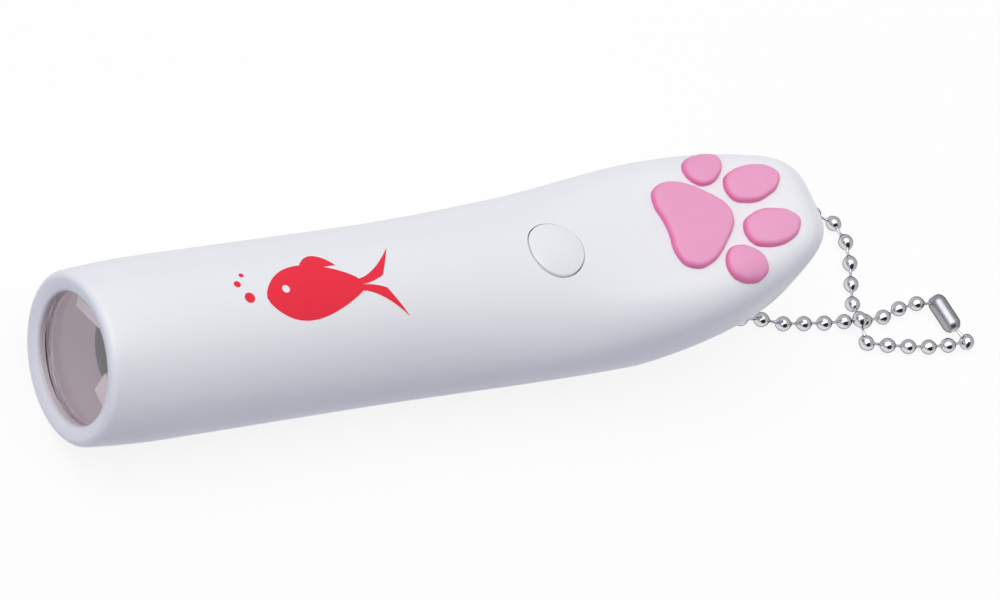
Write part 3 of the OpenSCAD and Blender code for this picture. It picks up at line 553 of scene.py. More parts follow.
BUTTON_REACH, BUTTON_FIRST, BUTTON_LAST = 6.4, N_UP // 2 - 11, N_UP // 2 + 11
HOLE_SOFT, HOLE_DEEP, UNDER_SOFT, UNDER_DEEP = 0.08, WALL - 0.4, 0.1, -0.2


def inner_skin_z(s, y):
    return skin_z(s, y) - WALL


def cut_button(solid, outer, inner):
    """The button's round hole, between open blocks of the outer and the inner skin."""
    place, radius = (BUTTON_S, 0.0), BUTTON_SHOWN + BUTTON_GAP
    outside, inside = [border(rings, BUTTON_FIRST, BUTTON_LAST) for rings in (outer, inner)]
    hole = round_hole(solid, outside, place, radius, skin_z, HOLE_SOFT, HOLE_DEEP)
    under = round_hole(solid, inside, place, radius, inner_skin_z, UNDER_SOFT, UNDER_DEEP, steps=5)
    solid.band(hole, under)


def make_casing():
    """Inner and outer skin, joined round the front, with openings for the button and the cover."""
    solid = Solid()
    rows, total = stations(), N_UP + N_LOW
    inner_rows = [s for s in rows if BORE_END + BORE_CLEAR < s < CAVITY_END]
    inner = {s: solid.ring(casing_ring(s, inset=WALL)) for s in reversed(inner_rows)}
    front = [(s, solid.ring(round_ring(s, r))) for s, r in front_profile()]
    outer = {s: solid.ring(outer_ring(s)) for s in rows}
    chain = [*inner.items(), *front, *outer.items()]
    solid.cap(chain[0][1], flip=True)
    solid.cap(chain[-1][1], flip=True)
    belly = [s for s in rows if COVER_FROM <= s <= COVER_TO]
    grip = [s for s in rows if abs(s - BUTTON_S) < BUTTON_REACH]

    def is_open(low, high, j):
        in_belly = belly[0] <= low and high <= belly[-1] and j >= N_UP
        return in_belly or (grip[0] <= low and high <= grip[-1] and BUTTON_FIRST <= j < BUTTON_LAST)

    for (sa, a), (sb, b) in zip(chain, chain[1:]):
        for j in range(total):
            if not is_open(min(sa, sb), max(sa, sb), j):
                m = (j + 1) % total
                solid.faces.append((a[j], b[j], b[m], a[m]))
    cut_button(solid, [outer[s] for s in grip], [inner[s] for s in grip])
    skins = [[rings[s] + rings[s][:1] for s in belly] for rings in (outer, inner)]
    solid.band(*[border(skin, N_UP, total) for skin in skins])
    add_eyelet(solid)
    add_posts(solid)
    return make_piece("casing", solid, "casing", WHITE, ["body_shell"], bevel=CASING_BEVEL)


EYELET_S, EYELET_Z, EYELET_R, EYELET_HOLE, EYELET_T = BODY_L - 9, -4.2, 2.8, 1.8, 4.0
EYELET_ROOT, EYELET_SOFT, EYELET_SIDES = 6.5, 0.5, 48


def add_eyelet(solid):
    """Strap tab under the tail: a rounded tongue with a cross hole and softened edges."""
    turn = [2 * math.pi * k / EYELET_SIDES for k in range(EYELET_SIDES)]

    def tongue(a, shrink):
        c, d, r = math.cos(a), math.sin(a), EYELET_R - shrink
        if d <= 0:
            return r * c, r * d
        most = max(abs(c), d)
        return r * c / most, EYELET_ROOT * d / most

    def mouth(a, grow):
        return (EYELET_HOLE + grow) * math.cos(a), (EYELET_HOLE + grow) * math.sin(a)

    near_half = [(mouth, 0.0, 0.3), (mouth, 0.1, 0.1), (mouth, 0.3, 0.0),
                 (tongue, EYELET_SOFT, 0.0), (tongue, 0.15, 0.15), (tongue, 0.0, EYELET_SOFT)]
    rows = [(curve, shift, deep - EYELET_T / 2) for curve, shift, deep in near_half]
    rows += [(curve, shift, -y) for curve, shift, y in reversed(rows)]
    rings = []
    for curve, shift, y in rows:
        spots = [curve(a, shift) for a in turn]
        rings.append(solid.ring([(EYELET_S + x, y, EYELET_Z + z) for x, z in spots]))
    for a, b in zip(rings, rings[1:] + rings[:1]):
        solid.band(a, b)


BOARD_TOP, POST_S, POST_R, POST_Y, POST_HOLE = -0.25, 57.038, 2.2, 5.5, 0.85
SCREW_POST_R, SCREW_POST_TOP, INSERT_R, INSERT_TOP, INSERT_END = 3.0, 7.2, 1.72, -1.2, 0.05
WEB_L, WEB_HALF, WEB_LOW = 2.9, 2.0, -1.0
RIBS, RIB_T, RIB_HALF, RIB_LOW = (88.46, 99.5), 2.0, 5.0, 8.66


def into_wall(s, y):
    return skin_z(s, y) - WALL / 2


def add_posts(solid):
    """Board posts, screw post with its web, and the cradle's ribs, under the top of the casing."""
    post = tube_profile(POST_HOLE, POST_R, BOARD_TOP, into_wall(POST_S, POST_Y + POST_R))
    for y in (-POST_Y, POST_Y):
        solid.turned(post, (POST_S, y, 0.0), sides=32)
    screw_post = [(INSERT_R, POST_LOW), (SCREW_POST_R, POST_LOW), (SCREW_POST_R, SCREW_POST_TOP),
                  (INSERT_END, SCREW_POST_TOP), (INSERT_END, INSERT_TOP), (INSERT_R, INSERT_TOP)]
    solid.turned(screw_post, (SCREW_S, 0.0, 0.0), sides=40)
    solid.box((SCREW_S, -WEB_HALF, WEB_LOW), (SCREW_S + WEB_L, WEB_HALF, into_wall(SCREW_S, WEB_HALF)))
    for s in RIBS:
        solid.box((s, -RIB_HALF, RIB_LOW), (s + RIB_T, RIB_HALF, into_wall(s, RIB_HALF)))


# Belly cover: a curved tray with a screw tube, a board prop, saddles for the cells and locating lips
COVER_ROWS, WELL_COLS, WELL_REACH = 64, 5, 3.4
WELL_R, WELL_SOFT, WELL_DEEP = 2.1, 0.15, -1.75
SCREW_HOLE, SCREW_TUBE_LOW, SCREW_TUBE_GAP = 1.15, -10.6, 0.1
BAR_HALF_T, BAR_HALF_W, PROP_LOW, PROP_TOP = 0.8, 3.5, -10.8, -1.55
SADDLES, SADDLE_TOP = (90.0, 97.3), -3.7
LIPS, LIP_L, LIP_DROP, LIP_RISE = (COVER_FROM + 7, COVER_TO - 14), 6.0, 2.1, 2.0
LIP_THICK, LIP_CLEAR, LEDGE_T = 1.2, 0.25, 1.0


def cover_arc(s, inset):
    a = seam_angle(s, SEAM_Z - COVER_GAP)
    foot = FOOT_CUT if inset else 0.0
    y, z = arc_points(s, math.pi - a, 2 * math.pi + a, N_LOW, inset, inset + foot)
    return np.column_stack([np.full(N_LOW + 1, s), y, z if inset else np.maximum(z, -AXIS_H)])


def add_tray(solid):
    """Outer and inner skin, the edge between them and the screw's well."""
    rows = np.linspace(COVER_FROM + COVER_GAP, COVER_TO - COVER_GAP, COVER_ROWS)
    outer = [solid.ring(cover_arc(s, 0.0)) for s in rows]
    inner = [solid.ring(cover_arc(s, WALL)) for s in rows]
    near = [k for k, s in enumerate(rows) if abs(s - SCREW_S) < WELL_REACH]
    i0, i1, j0, j1 = near[0], near[-1], N_LOW // 2 - WELL_COLS, N_LOW // 2 + WELL_COLS
    for i in range(COVER_ROWS - 1):
        for j in range(N_LOW):
            if not (i0 <= i < i1 and j0 <= j < j1):
                solid.faces.append((outer[i][j], outer[i + 1][j], outer[i + 1][j + 1], outer[i][j + 1]))
            solid.faces.append((inner[i][j], inner[i][j + 1], inner[i + 1][j + 1], inner[i + 1][j]))
    loop = border(outer[i0:i1 + 1], j0, j1)
    solid.cap(round_hole(solid, loop, (SCREW_S, 0.0), WELL_R, low_skin_z, WELL_SOFT, WELL_DEEP, steps=5))
    solid.band(border(inner, 0, N_LOW), border(outer, 0, N_LOW))


def add_supports(solid):
    """Screw tube, board prop and the saddles."""
    tube = tube_profile(SCREW_HOLE, SCREW_POST_R, SCREW_TUBE_LOW, POST_LOW - SCREW_TUBE_GAP)
    solid.turned(tube, (SCREW_S, 0.0, 0.0), sides=40)
    bars = [(BUTTON_S, PROP_LOW, PROP_TOP)] + [(s, low_z(s) + WALL, SADDLE_TOP) for s in SADDLES]
    for s, low, high in bars:
        solid.box((s - BAR_HALF_T, -BAR_HALF_W, low), (s + BAR_HALF_T, BAR_HALF_W, high))


def inside_y(s, z):
    """Half the width between the walls at a height below the middle."""
    t = (mid_z(s) - z) / (mid_z(s) - low_z(s) - WALL - FOOT_CUT)
    return (half_w(s) - WALL) * math.sqrt(1 - min(max(t, 0.0), 1.0) ** 2)


def add_lips(solid):
    """Lips that stand up inside the casing's edge, each on a ledge from the cover's wall."""
    foot = SEAM_Z - LIP_DROP
    for s in LIPS:
        ends = (s, s + LIP_L)
        face = min(inside_y(at, SEAM_Z) for at in ends) - LIP_CLEAR
        root = min(inside_y(at, foot) for at in ends) + WALL / 2
        for side in (-1, 1):
            for high, far in ((SEAM_Z + LIP_RISE, face), (foot + LEDGE_T, root)):
                y = sorted((side * (face - LIP_THICK), side * far))
                solid.box((s, y[0], foot), (s + LIP_L, y[1], high))


def make_cover():
    solid = Solid()
    add_tray(solid)
    add_supports(solid)
    add_lips(solid)
    return make_piece("belly_cover", solid, "cover", WHITE, ["battery_cover"],
                      bevel=CASING_BEVEL)


make_casing()
make_cover()


# Thumb button: crowned cap that follows the casing's curve, with flange and stem
STEM_R, STEM_LOW, FLANGE_T, FLANGE_OVER, FLANGE_DROP = 2.0, 5.0, 1.0, 0.9, 1.2
BUTTON_SIDES = 96


def make_button():
    solid = Solid()
    flange = top_z(BUTTON_S) - WALL - FLANGE_DROP
    under, wide = flange - FLANGE_T, BUTTON_R + FLANGE_OVER
    turn = 2 * math.pi * np.arange(BUTTON_SIDES) / BUTTON_SIDES
    inner = BUTTON_SHOWN - BUTTON_SOFT

    def flat(r, z):
        return solid.ring([(BUTTON_S + r * math.cos(a), r * math.sin(a), z) for a in turn])

    def draped(r, lift):
        spots = [(BUTTON_S + r * math.cos(a), r * math.sin(a)) for a in turn]
        return solid.ring([(s, y, skin_z(s, y) + lift) for s, y in spots])

    def crown(r):
        return mix(BUTTON_UP, BUTTON_EDGE_UP, (r / BUTTON_SHOWN) ** 2)

    stem = [(DOT, STEM_LOW), (STEM_R, STEM_LOW), (STEM_R, under)]
    rings = [flat(r, z) for r, z in stem + [(wide, under), (wide, flange), (BUTTON_SHOWN, flange)]]
    rings += [draped(inner + BUTTON_SOFT * math.sin(a), crown(inner) - BUTTON_SOFT * (1 - math.cos(a)))
              for a in np.linspace(math.pi / 2, 0, 8)]
    rings += [draped(r, crown(r)) for r in np.linspace(inner, DOT, 18)[1:]]
    solid.loft(rings, capped=True)
    return make_piece("thumb_button", solid, "button", BUTTON_WHITE, ["button_cap"],
                      bevel=BUTTON_BEVEL)


make_button()


# Pads: smooth outlines given as distance from the tail and from the middle, draped over the casing
MAIN_HALF = [(28.9, 0.0), (29.0, 1.55), (29.3, 3.7), (28.6, 6.15), (26.35, 7.25), (23.95, 6.7), (22.2, 5.5),
             (20.9, 4.25), (19.8, 3.15), (18.75, 1.75), (18.3, 0.0)]
OUTER_TOE = [(22.35, 8.1), (21.8, 9.6), (20.55, 10.5), (19.2, 10.85), (17.65, 10.85), (16.15, 9.9),
             (16.25, 8.1), (17.0, 6.85), (17.95, 5.95), (19.15, 5.3), (20.8, 5.3), (22.0, 6.5)]
INNER_TOE = [(17.75, 3.8), (17.0, 5.75), (15.1, 6.6), (13.55, 6.8), (11.95, 6.6), (10.15, 5.75), (9.15, 3.8),
             (10.35, 1.9), (12.05, 1.1), (13.55, 0.7), (15.15, 0.85), (17.1, 1.75)]
PAD_SHAPES = {
    "main_pad": (MAIN_HALF + [(s, -y) for s, y in MAIN_HALF[-2:0:-1]], ((24.5, 3.6), (24.5, -3.6)), 1),
    "toe_pad_far_outer": (OUTER_TOE, ((19.2, 8.1),), 1),
    "toe_pad_far_inner": (INNER_TOE, ((13.5, 3.8),), 1),
    "toe_pad_near_inner": (INNER_TOE, ((13.5, 3.8),), -1),
    "toe_pad_near_outer": (OUTER_TOE, ((19.2, 8.1),), -1),
}
PAD_EDGE, PAD_CROWN, PAD_FOOT, DEEP_FROM, PAD_BENDS, PAD_SIDES = 0.8, 0.14, 0.02, 0.45, 12, 128


def smooth_loop(points, steps):
    """Smooth closed curve through the points."""
    p = np.asarray(points, float)
    n, out = len(p), []
    for i in range(n):
        a, b, c, d = p[i - 1], p[i], p[(i + 1) % n], p[(i + 2) % n]
        for t in np.arange(steps) / steps:
            out.append(0.5 * (2 * b + (c - a) * t + (2 * a - 5 * b + 4 * c - d) * t * t
                              + (3 * b - a - 3 * c + d) * t ** 3))
    return np.array(out)


def evenly(curve, count):
    """Places at equal steps along a closed curve, and its length."""
    loop = np.vstack([curve, curve[:1]])
    run = np.concatenate([[0], np.cumsum(np.linalg.norm(np.diff(loop, axis=0), axis=1))])
    at = run[-1] * np.arange(count) / count
    return np.column_stack([np.interp(at, run, column) for column in loop.T]), run[-1]


def make_pad(name):
    """A pad draped over the casing, with a rounded edge, a slight crown and pegs below."""
    shape, pegs, side = PAD_SHAPES[name]
    spots = [(BODY_L - s, side * y) for s, y in shape]
    outline, _ = evenly(smooth_loop(spots if side < 0 else spots[::-1], PAD_BENDS), PAD_SIDES)
    centre = (outline.min(0) + outline.max(0)) / 2
    ahead = np.roll(outline, -1, 0) - np.roll(outline, 1, 0)
    inward = np.column_stack([-ahead[:, 1], ahead[:, 0]]) / np.linalg.norm(ahead, axis=1)[:, None]
    top = PAD_H - PAD_CROWN
    solid = Solid()

    def row(inset, share, lift):
        flat = centre + share * (outline + inset * inward - centre)
        return solid.ring([(s, y, skin_z(s, y) + lift) for s, y in flat])

    turns = np.linspace(0, math.pi / 2, 8)[1:]
    rows = [row(0.0, share, PAD_GAP) for share in (0.1, 0.4, 0.7, 0.9)] + [row(0.0, 1.0, PAD_GAP + PAD_FOOT)]
    rows += [row(0.0, 1.0, mix(PAD_GAP, top - PAD_EDGE, f)) for f in (0.35, 0.7, 1.0)]
    # Share of the sides' painted shade: full down the side wall, fading out over the rounded edge, none on
    # the top
    deep = [1.0] * len(rows) + [1 - ease((math.sin(a) - DEEP_FROM) / (1 - DEEP_FROM)) for a in turns]
    rows += [row(PAD_EDGE * (1 - math.cos(a)), 1.0, top - PAD_EDGE + PAD_EDGE * math.sin(a)) for a in turns]
    rows += [row(PAD_EDGE, share, top + PAD_CROWN * (1 - share * share))
             for share in (0.97, 0.93, 0.87, 0.78, 0.66, 0.52, 0.37, 0.22, 0.08)]
    deep = np.repeat(deep + [0.0] * (len(rows) - len(deep)), len(outline))
    for a, b in zip(rows, rows[1:]):
        solid.band(a, b)
    solid.cap(rows[0], flip=True)
    solid.cap(rows[-1])
    for back, out in pegs:
        s, y = BODY_L - back, side * out
        z = skin_z(s, y)
        solid.turned(tube_profile(DOT, PEG_R, z - PEG_L, z + PAD_H / 2), (s, y, 0.0), sides=24)
    pad = make_piece(name + "_soft", solid, "casing", PINK, [name], sharp=60)
    # Keeps each point's share of the painted side shade; the pegs take the full share
    kept = pad.data.attributes.new(PAD_PAINTED_SHADE_SHARE, "FLOAT", "POINT")
    kept.data.foreach_set("value", np.concatenate([deep, np.ones(len(solid.points) - len(deep))]))


for pad_name in PAD_SHAPES:
    make_pad(pad_name)


# Optics behind the front opening
CENTRE = (0.0, 0.0, 0.0)
LENS_T, LENS_CURVE, LENS_MID_R, LENS_EDGE = 3.0, 150.0, 5.0, 0.05
RING_S, RING_L, RING_IN_R = 4.338, 6.5, 9.2
# Clips of the ring: turn in degrees, sideways shift, how near the axis it reaches, width
CLIPS = ((60, -2.0, 5.0, 6.4), (176, 0.2, 4.0, 4.0))
CLIP_S, CLIP_T, CLIP_ROOT_R = RING_S + 0.5, 1.0, 9.55
BARREL_L, BARREL_IN_R = 21.8, 8.7
GROOVES, GROOVE_FROM, GROOVE_TO, GROOVE_DEEP = 40, 0.4, 0.5, 0.08


def make_lens():
    """Flat in front, curved behind."""
    solid = Solid()
    rear = LIP_T + LENS_T - LENS_CURVE
    profile = [(r, LIP_T) for r in (DOT, LENS_MID_R, OPTICS_R - LENS_EDGE)]
    profile += [(OPTICS_R, LIP_T + LENS_EDGE)]
    profile += [(r, rear + math.sqrt(LENS_CURVE ** 2 - r * r)) for r in np.linspace(OPTICS_R, DOT, 12)]
    solid.turned(profile, CENTRE, axis="x", sides=384, closed=False)
    return make_piece("front_lens_clear", solid, "casing", GLASS, ["front_lens"])


def make_ring():
    """Pale ring behind the lens, with two flat clips that reach in; its finish carries a faint painted glow.
    """
    solid = Solid()
    solid.turned(tube_profile(RING_IN_R, OPTICS_R, RING_S, RING_S + RING_L), CENTRE, axis="x", sides=128)
    for turn, shift, reach, width in CLIPS:
        c, d = math.cos(math.radians(turn)), math.sin(math.radians(turn))
        across = np.linspace(shift - width / 2, shift + width / 2, 17)
        edge = [(reach, v) for v in across]
        edge += [(math.sqrt(CLIP_ROOT_R ** 2 - v * v), v) for v in across[::-1]]
        spots = [(u * c - v * d, u * d + v * c) for u, v in edge]
        faces = [solid.ring([(s, y, z) for y, z in spots]) for s in (CLIP_S, CLIP_S + CLIP_T)]
        solid.loft(faces, capped=True)
    return make_piece("lens_ring_pale", solid, "casing", RING_MAUVE_PAINTED_GLOW, ["lens_ring"],
                      bevel=RING_BEVEL)


def make_barrel():
    """Dark barrel with fine grooves inside."""
    solid = Solid()
    start = RING_S + RING_L
    end = start + BARREL_L
    groove = [(0.0, 0.0), (0.0, GROOVE_FROM), (GROOVE_DEEP, GROOVE_TO)]
    places = [mix(start, end, k / GROOVES) for k in range(GROOVES)]
    inside = [(BARREL_IN_R + deep, s + along) for s in places for deep, along in groove]
    profile = [(BARREL_IN_R, end)] + inside[::-1] + [(OPTICS_R, start), (OPTICS_R, end)]
    solid.turned(profile, CENTRE, axis="x", sides=96)
    return make_piece("inner_barrel", solid, "casing", BARREL, ["lens_barrel"])


make_lens()
make_ring()
make_barrel()


# Ball chain: the route's points are the beads of the part's source, in metres
CHAIN_ROUTE = [
    (0.05200, 0.00000, 0.00785), (0.05266, 0.00350, 0.00678), (0.05478, 0.00413, 0.00376),
    (0.05767, 0.00498, 0.00157), (0.06122, 0.00602, 0.00117), (0.06479, 0.00707, 0.00117),
    (0.06836, 0.00811, 0.00117), (0.07193, 0.00916, 0.00117), (0.07550, 0.01020, 0.00117),
    (0.07907, 0.01123, 0.00138), (0.08214, 0.00915, 0.00117), (0.08240, 0.00546, 0.00158),
    (0.08150, 0.00185, 0.00137), (0.08008, -0.00158, 0.00117), (0.07856, -0.00497, 0.00128),
    (0.07745, -0.00831, 0.00263), (0.07788, -0.01171, 0.00117), (0.08147, -0.01268, 0.00117),
    (0.08511, -0.01344, 0.00117), (0.08878, -0.01406, 0.00117), (0.09249, -0.01432, 0.00117),
    (0.09621, -0.01427, 0.00117), (0.09465, -0.01089, 0.00150), (0.09401, -0.00723, 0.00150),
    (0.09036, -0.00652, 0.00117), (0.08666, -0.00690, 0.00117), (0.08307, -0.00787, 0.00117),
    (0.07937, -0.00803, 0.00117), (0.07565, -0.00759, 0.00117), (0.07195, -0.00731, 0.00117),
    (0.06826, -0.00686, 0.00117), (0.06458, -0.00635, 0.00117), (0.06108, -0.00508, 0.00118),
    (0.05742, -0.00441, 0.00125), (0.05467, -0.00390, 0.00371), (0.05260, -0.00352, 0.00681)
]
CLASP_AT, BEND_STEPS, BEAD_SIDES, LINK_SIDES = 22, 6, 36, 14
BEAD_MOUTH, BEAD_DRAWN, BEAD_NARROWED = 0.3, 0.2, 0.05
LINK_FROM, LINK_SHOULDER, LINK_TAPER, LINK_WAIST = 1.0, 1.35, 0.95, 0.6
CLASP_R, CLASP_WALL, CLASP_SLOT, CLASP_NECK, CLASP_SHORTER, CLASP_SIDES = 1.46, 0.25, 0.33, 55, 0.06, 48


def around(axis):
    axis = axis / np.linalg.norm(axis)
    side = np.cross(axis, (0, 0, 1) if abs(axis[2]) < 0.9 else (0, 1, 0))
    side /= np.linalg.norm(side)
    return axis, side, np.cross(axis, side)


def lathe_along(solid, origin, axis, profile, sides):
    """A profile of (radius, distance) turned about any axis through origin, with capped ends."""
    axis, side, up = around(np.asarray(axis, float))
    rings = []
    for r, h in profile:
        rings.append(solid.ring([origin + h * axis + r * (math.cos(a) * side + math.sin(a) * up)
                                 for a in 2 * math.pi * np.arange(sides) / sides]))
    solid.loft(rings, capped=True)


def bead_profile():
    """A ball with drawn-out ends, each with a mouth whose edge turns in."""
    ball = []
    for a in np.linspace(BEAD_MOUTH, math.pi - BEAD_MOUTH, 21):
        ends = abs(math.cos(a)) ** 3
        r, h = BEAD_R * math.sin(a), -BEAD_R * math.cos(a)
        ball.append((r * (1 - BEAD_NARROWED * ends), h * (1 + BEAD_DRAWN * ends)))
    r, h = ball[0]
    mouth = [(0.05, h + 0.1), (0.9 * r, h + 0.06)]
    return mouth + ball + [(r, -h) for r, h in reversed(mouth)]


def link_profile(reach):
    """A rod between two beads that thins towards its middle."""
    half = [(LINK_R, LINK_FROM), (LINK_R * LINK_TAPER, LINK_SHOULDER)]
    return half + [(LINK_R * LINK_WAIST, reach / 2)] + [(r, reach - h) for r, h in reversed(half)]


def make_chain():
    beads = np.array(CHAIN_ROUTE) / MM
    curve = smooth_loop(beads, BEND_STEPS)
    count = len(beads)
    _, length = evenly(curve, count)
    solid = Solid()
    ball = bead_profile()
    for k, here in enumerate(beads):
        after = beads[(k + 1) % count]
        lathe_along(solid, here, after - beads[k - 1], ball, BEAD_SIDES)
        if k != CLASP_AT:
            step = after - here
            lathe_along(solid, here, step, link_profile(np.linalg.norm(step)), LINK_SIDES)
    chain = make_piece("ball_chain", solid, "casing", CHAIN,
                       ["chain_beads", "chain_links"], on_table=True, sharp=50)
    clasp = make_clasp(beads[CLASP_AT], beads[CLASP_AT + 1])


def make_clasp(a, b):
    """Split sleeve with drawn-in ends that holds the two end beads."""
    solid = Solid()
    axis, side, up = around(b - a)
    if up[2] > 0:
        side, up = -side, -up
    reach = np.linalg.norm(b - a)
    neck = np.linspace(math.radians(CLASP_NECK), 0, 10)
    line = [(CLASP_R * math.cos(t), CLASP_R * math.sin(t)) for t in neck]
    profile = [(r, -h) for r, h in line] + [(r, reach + h) for r, h in reversed(line)]
    turn = np.linspace(CLASP_SLOT, 2 * math.pi - CLASP_SLOT, CLASP_SIDES + 1)

    def ring(r, h):
        return solid.ring([a + h * axis + r * (math.cos(t) * up + math.sin(t) * side) for t in turn])

    outside = [ring(r, h) for r, h in profile]
    inside = [ring(r - CLASP_WALL, mix(h, reach / 2, CLASP_SHORTER)) for r, h in profile]
    solid.loft(outside, closed=False)
    for p, q in [*zip(inside, inside[1:]), (outside[0], inside[0]), (inside[-1], outside[-1])]:
        solid.band(p, q, closed=False)
    solid.band([r[0] for r in outside], [r[0] for r in inside], closed=False)
    solid.band([r[-1] for r in inside], [r[-1] for r in outside], closed=False)
    return make_piece("chain_clasp_sleeve", solid, "casing", CLASP, ["chain_clasp"],
                      on_table=True)


make_chain()


# Red fish and bubbles printed on the front tube: u runs back along the tube, v round it
PRINT_S, PRINT_V, PRINT_SIZE, PRINT_LIFT = 35.2, 1.5, 1.05, 0.02
FIN_LIFT, EYE_LIFT = PRINT_LIFT + 0.004, PRINT_LIFT + 0.012
NOSE_U, FISH_L, TAIL_U, TAIL_HALF = -9.5, 14.5, 4.9, 0.9
TAIL_L, TAIL_SPREAD, TAIL_NOTCH = 6.6, 5.2, 3.9
FIN_TOP_U, FIN_TOP_L, FIN_TOP_V = -2.6, 5.2, -5.6
FIN_ROOT_U, FIN_ROOT_L, FIN_ROOT_V = -3.2, 5.6, -3.4
EYE, EYE_R = (-6.3, -0.9), 0.55
BUBBLES = (((-12.0, -0.4), 0.75), ((-13.0, -2.6), 0.5), ((-11.8, -3.9), 0.35))


def on_tube(u, v, lift):
    a = math.pi / 2 + (PRINT_V + PRINT_SIZE * v) / TUBE_R
    r = TUBE_R + lift
    return PRINT_S + PRINT_SIZE * u, r * math.cos(a), r * math.sin(a)


def print_strip(solid, low, high, steps, rows, lift):
    """A patch between two edge curves, laid on the tube."""
    grid = []
    for k in range(steps + 1):
        t = k / steps
        p, q = np.array(low(t)), np.array(high(t))
        grid.append(solid.ring([on_tube(*mix(p, q, j / rows), lift) for j in range(rows + 1)]))
    solid.loft(grid, closed=False)


def print_dot(solid, centre, radius, lift, sides=36):
    turn = 2 * math.pi * np.arange(sides) / sides
    rings = []
    for r in radius * np.array((1.0, 0.75, 0.5, 0.25)):
        spots = [(centre[0] + r * math.cos(a), centre[1] + r * math.sin(a)) for a in turn]
        rings.append(solid.ring([on_tube(u, v, lift) for u, v in spots]))
    solid.loft(rings)
    solid.cap(rings[-1], flip=True)


def body_edge(side, high, lean, swell, thinning):
    """The fish's back or belly line from nose to tail."""
    def edge(t):
        bulge = high * math.sin(math.pi * t ** lean) ** swell * (1 - thinning * t)
        return NOSE_U + FISH_L * t, side * (bulge + TAIL_HALF * t)
    return edge


def print_tail(solid, side):
    def outside(t):
        return TAIL_U + TAIL_L * t, side * (TAIL_HALF * (1 - t) + TAIL_SPREAD * t ** 1.5)

    def inside(t):
        return TAIL_U + TAIL_NOTCH * t, side * TAIL_HALF * t ** 2

    print_strip(solid, outside, inside, 24, 8, PRINT_LIFT)


def print_fin(solid):
    def top(t):
        return FIN_TOP_U + FIN_TOP_L * t, FIN_TOP_V * math.sin(math.pi * (0.25 + 0.6 * t)) ** 0.7

    def root(t):
        return FIN_ROOT_U + FIN_ROOT_L * t, FIN_ROOT_V

    print_strip(solid, top, root, 16, 4, FIN_LIFT)


def make_print():
    solid = Solid()
    back, belly = body_edge(-1, 4.1, 0.8, 0.8, 0.15), body_edge(1, 3.6, 0.75, 0.85, 0.1)
    print_strip(solid, back, belly, 60, 14, PRINT_LIFT)
    for side in (-1, 1):
        print_tail(solid, side)
    print_fin(solid)
    for centre, radius in BUBBLES:
        print_dot(solid, centre, radius, PRINT_LIFT)
    make_piece("red_fish_print", solid, "casing", RED)
    eye = Solid()
    print_dot(eye, EYE, EYE_R, EYE_LIFT)
    make_piece("fish_eye_print", eye, "casing", PALE_INK)


make_print()


# Inner pieces keep their solids and get their finishes
INNER_PIECES = (
    (STEEL, "cover_screw", "led_leads", "board_screws", "switch_frame", "button_cells", "contact_spring"),
    (BLACK, "led_holder", "switch_body", "cell_cradle"), (BRASS, "screw_insert", "contact_plate"),
    (FILM, "picture_slide"), (GLASS, "condenser_lens"), (LAMP, "led_lamp"), (BOARD, "circuit_board"),
    (BEIGE, "resistor"), (PALE, "switch_plunger"), (WIRE_RED, "wire_red"), (WIRE_BLACK, "wire_black"))
for used, *nodes in INNER_PIECES:
    for node in nodes:
        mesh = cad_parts[node].data
        mesh.materials.clear()
        mesh.materials.append(used)


# Stage: pale floor and soft studio light
FLOOR_HALF, FLOOR_GLOW = 3.0, 0.86
FLOOR_SEEN, FLOOR_BOUNCE = (0.95, 0.95, 0.95, 1), (0.40, 0.415, 0.553, 1)
SKY_COLOUR = (0.965, 0.975, 1.0, 1)


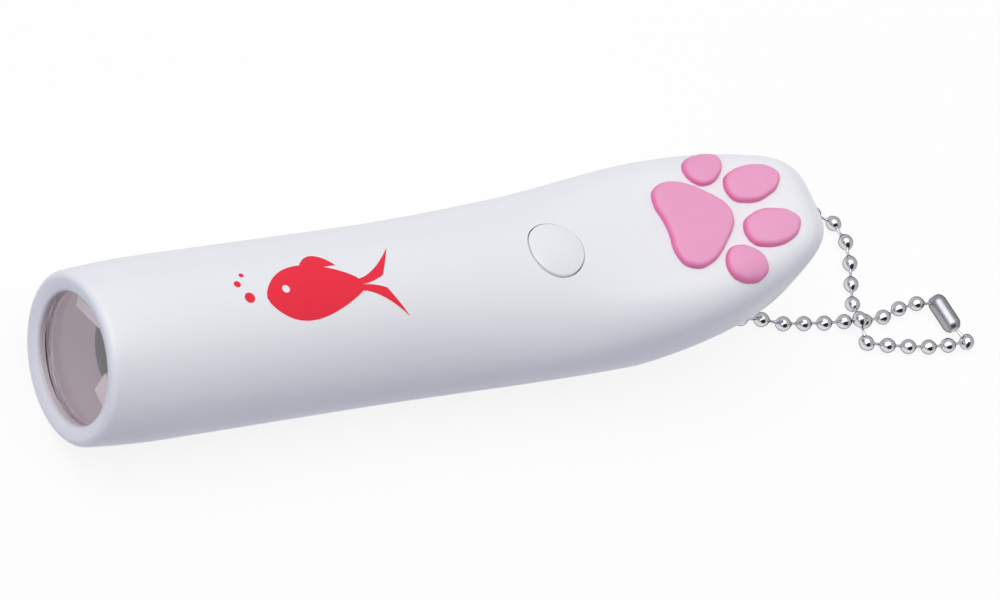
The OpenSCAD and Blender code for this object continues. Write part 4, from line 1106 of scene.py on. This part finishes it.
def floor_paint():
    """Matte floor with a glow for rays that come from the camera, directly, mirrored or through glass."""
    paint = bpy.data.materials.new("pale_floor")
    paint.use_nodes = True
    tree = paint.node_tree
    tree.nodes.clear()
    out, paths = add_node(tree, "OutputMaterial"), add_node(tree, "LightPath")
    pick, more = add_node(tree, "Math", operation="MAXIMUM"), add_node(tree, "Math", operation="MAXIMUM")
    share = add_node(tree, "Math", operation="MULTIPLY", values=[(1, FLOOR_GLOW)])
    tint = add_node(tree, "Mix", data_type="RGBA", values=[("A", FLOOR_BOUNCE), ("B", FLOOR_SEEN)])
    matte, blend = add_node(tree, "BsdfDiffuse"), add_node(tree, "MixShader")
    glow = add_node(tree, "Emission", [("Color", (1, 1, 1, 1))])
    wire(tree, (paths, "Is Camera Ray", pick, 0), (paths, "Is Glossy Ray", pick, 1), (pick, 0, more, 0),
         (paths, "Is Transmission Ray", more, 1), (more, 0, share, 0), (share, 0, blend, 0),
         (paths, "Is Camera Ray", tint, "Factor"), (tint, "Result", matte, "Color"), (matte, 0, blend, 1),
         (glow, 0, blend, 2), (blend, 0, out, "Surface"))
    return paint


def make_floor():
    mesh = bpy.data.meshes.new("floor")
    r = FLOOR_HALF
    mesh.from_pydata([(-r, -r, 0), (r, -r, 0), (r, r, 0), (-r, r, 0)], [], [(0, 1, 2, 3)])
    mesh.materials.append(floor_paint())
    floor = bpy.data.objects.new("floor", mesh)
    scene.collection.objects.link(floor)


def soft_light(name, place, aim, size, power):
    data = bpy.data.lights.new(name, "AREA")
    data.shape, data.size, data.size_y = "RECTANGLE", size[0], size[1]
    data.energy = power
    lamp = bpy.data.objects.new(name, data)
    lamp.location = place
    lamp.rotation_mode = "QUATERNION"
    lamp.rotation_quaternion = (Vector(aim) - Vector(place)).to_track_quat("-Z", "Y")
    scene.collection.objects.link(lamp)


def make_light():
    """A tent of light, brightest overhead, with one dark opening on the near side."""
    world = bpy.data.worlds.new("studio")
    scene.world = world
    world.use_nodes = True
    tree = world.node_tree
    sky = tree.nodes["Background"]
    way = add_node(tree, "TexCoord")

    def lobe(towards, start, end, low, high):
        """A strength that goes from low to high as a ray comes nearer to one direction."""
        aim = Vector(towards).normalized()
        facing = add_node(tree, "VectorMath", operation="DOT_PRODUCT", values=[(1, aim)])
        fade = add_fade(tree, start, end, low, high)
        wire(tree, (way, "Generated", facing, 0), (facing, "Value", fade, "Value"))
        return fade

    overhead = lobe(towards=(-0.324, -0.094, 0.941), start=0.756, end=0.876, low=0.565, high=2.4)
    opening = lobe(towards=(-0.11, -0.84, 0.53), start=0.80, end=0.865, low=1.0, high=0.05)
    both = add_node(tree, "Math", operation="MULTIPLY")
    wire(tree, (overhead, "Result", both, 0), (opening, "Result", both, 1), (both, 0, sky, "Strength"))
    sky.inputs["Color"].default_value = SKY_COLOUR
    soft_light("softbox_above", place=(-0.2, 0.5, 0.75), aim=(0, 0, 0.01), size=(1.0, 0.7), power=0.2)


make_floor()
make_light()
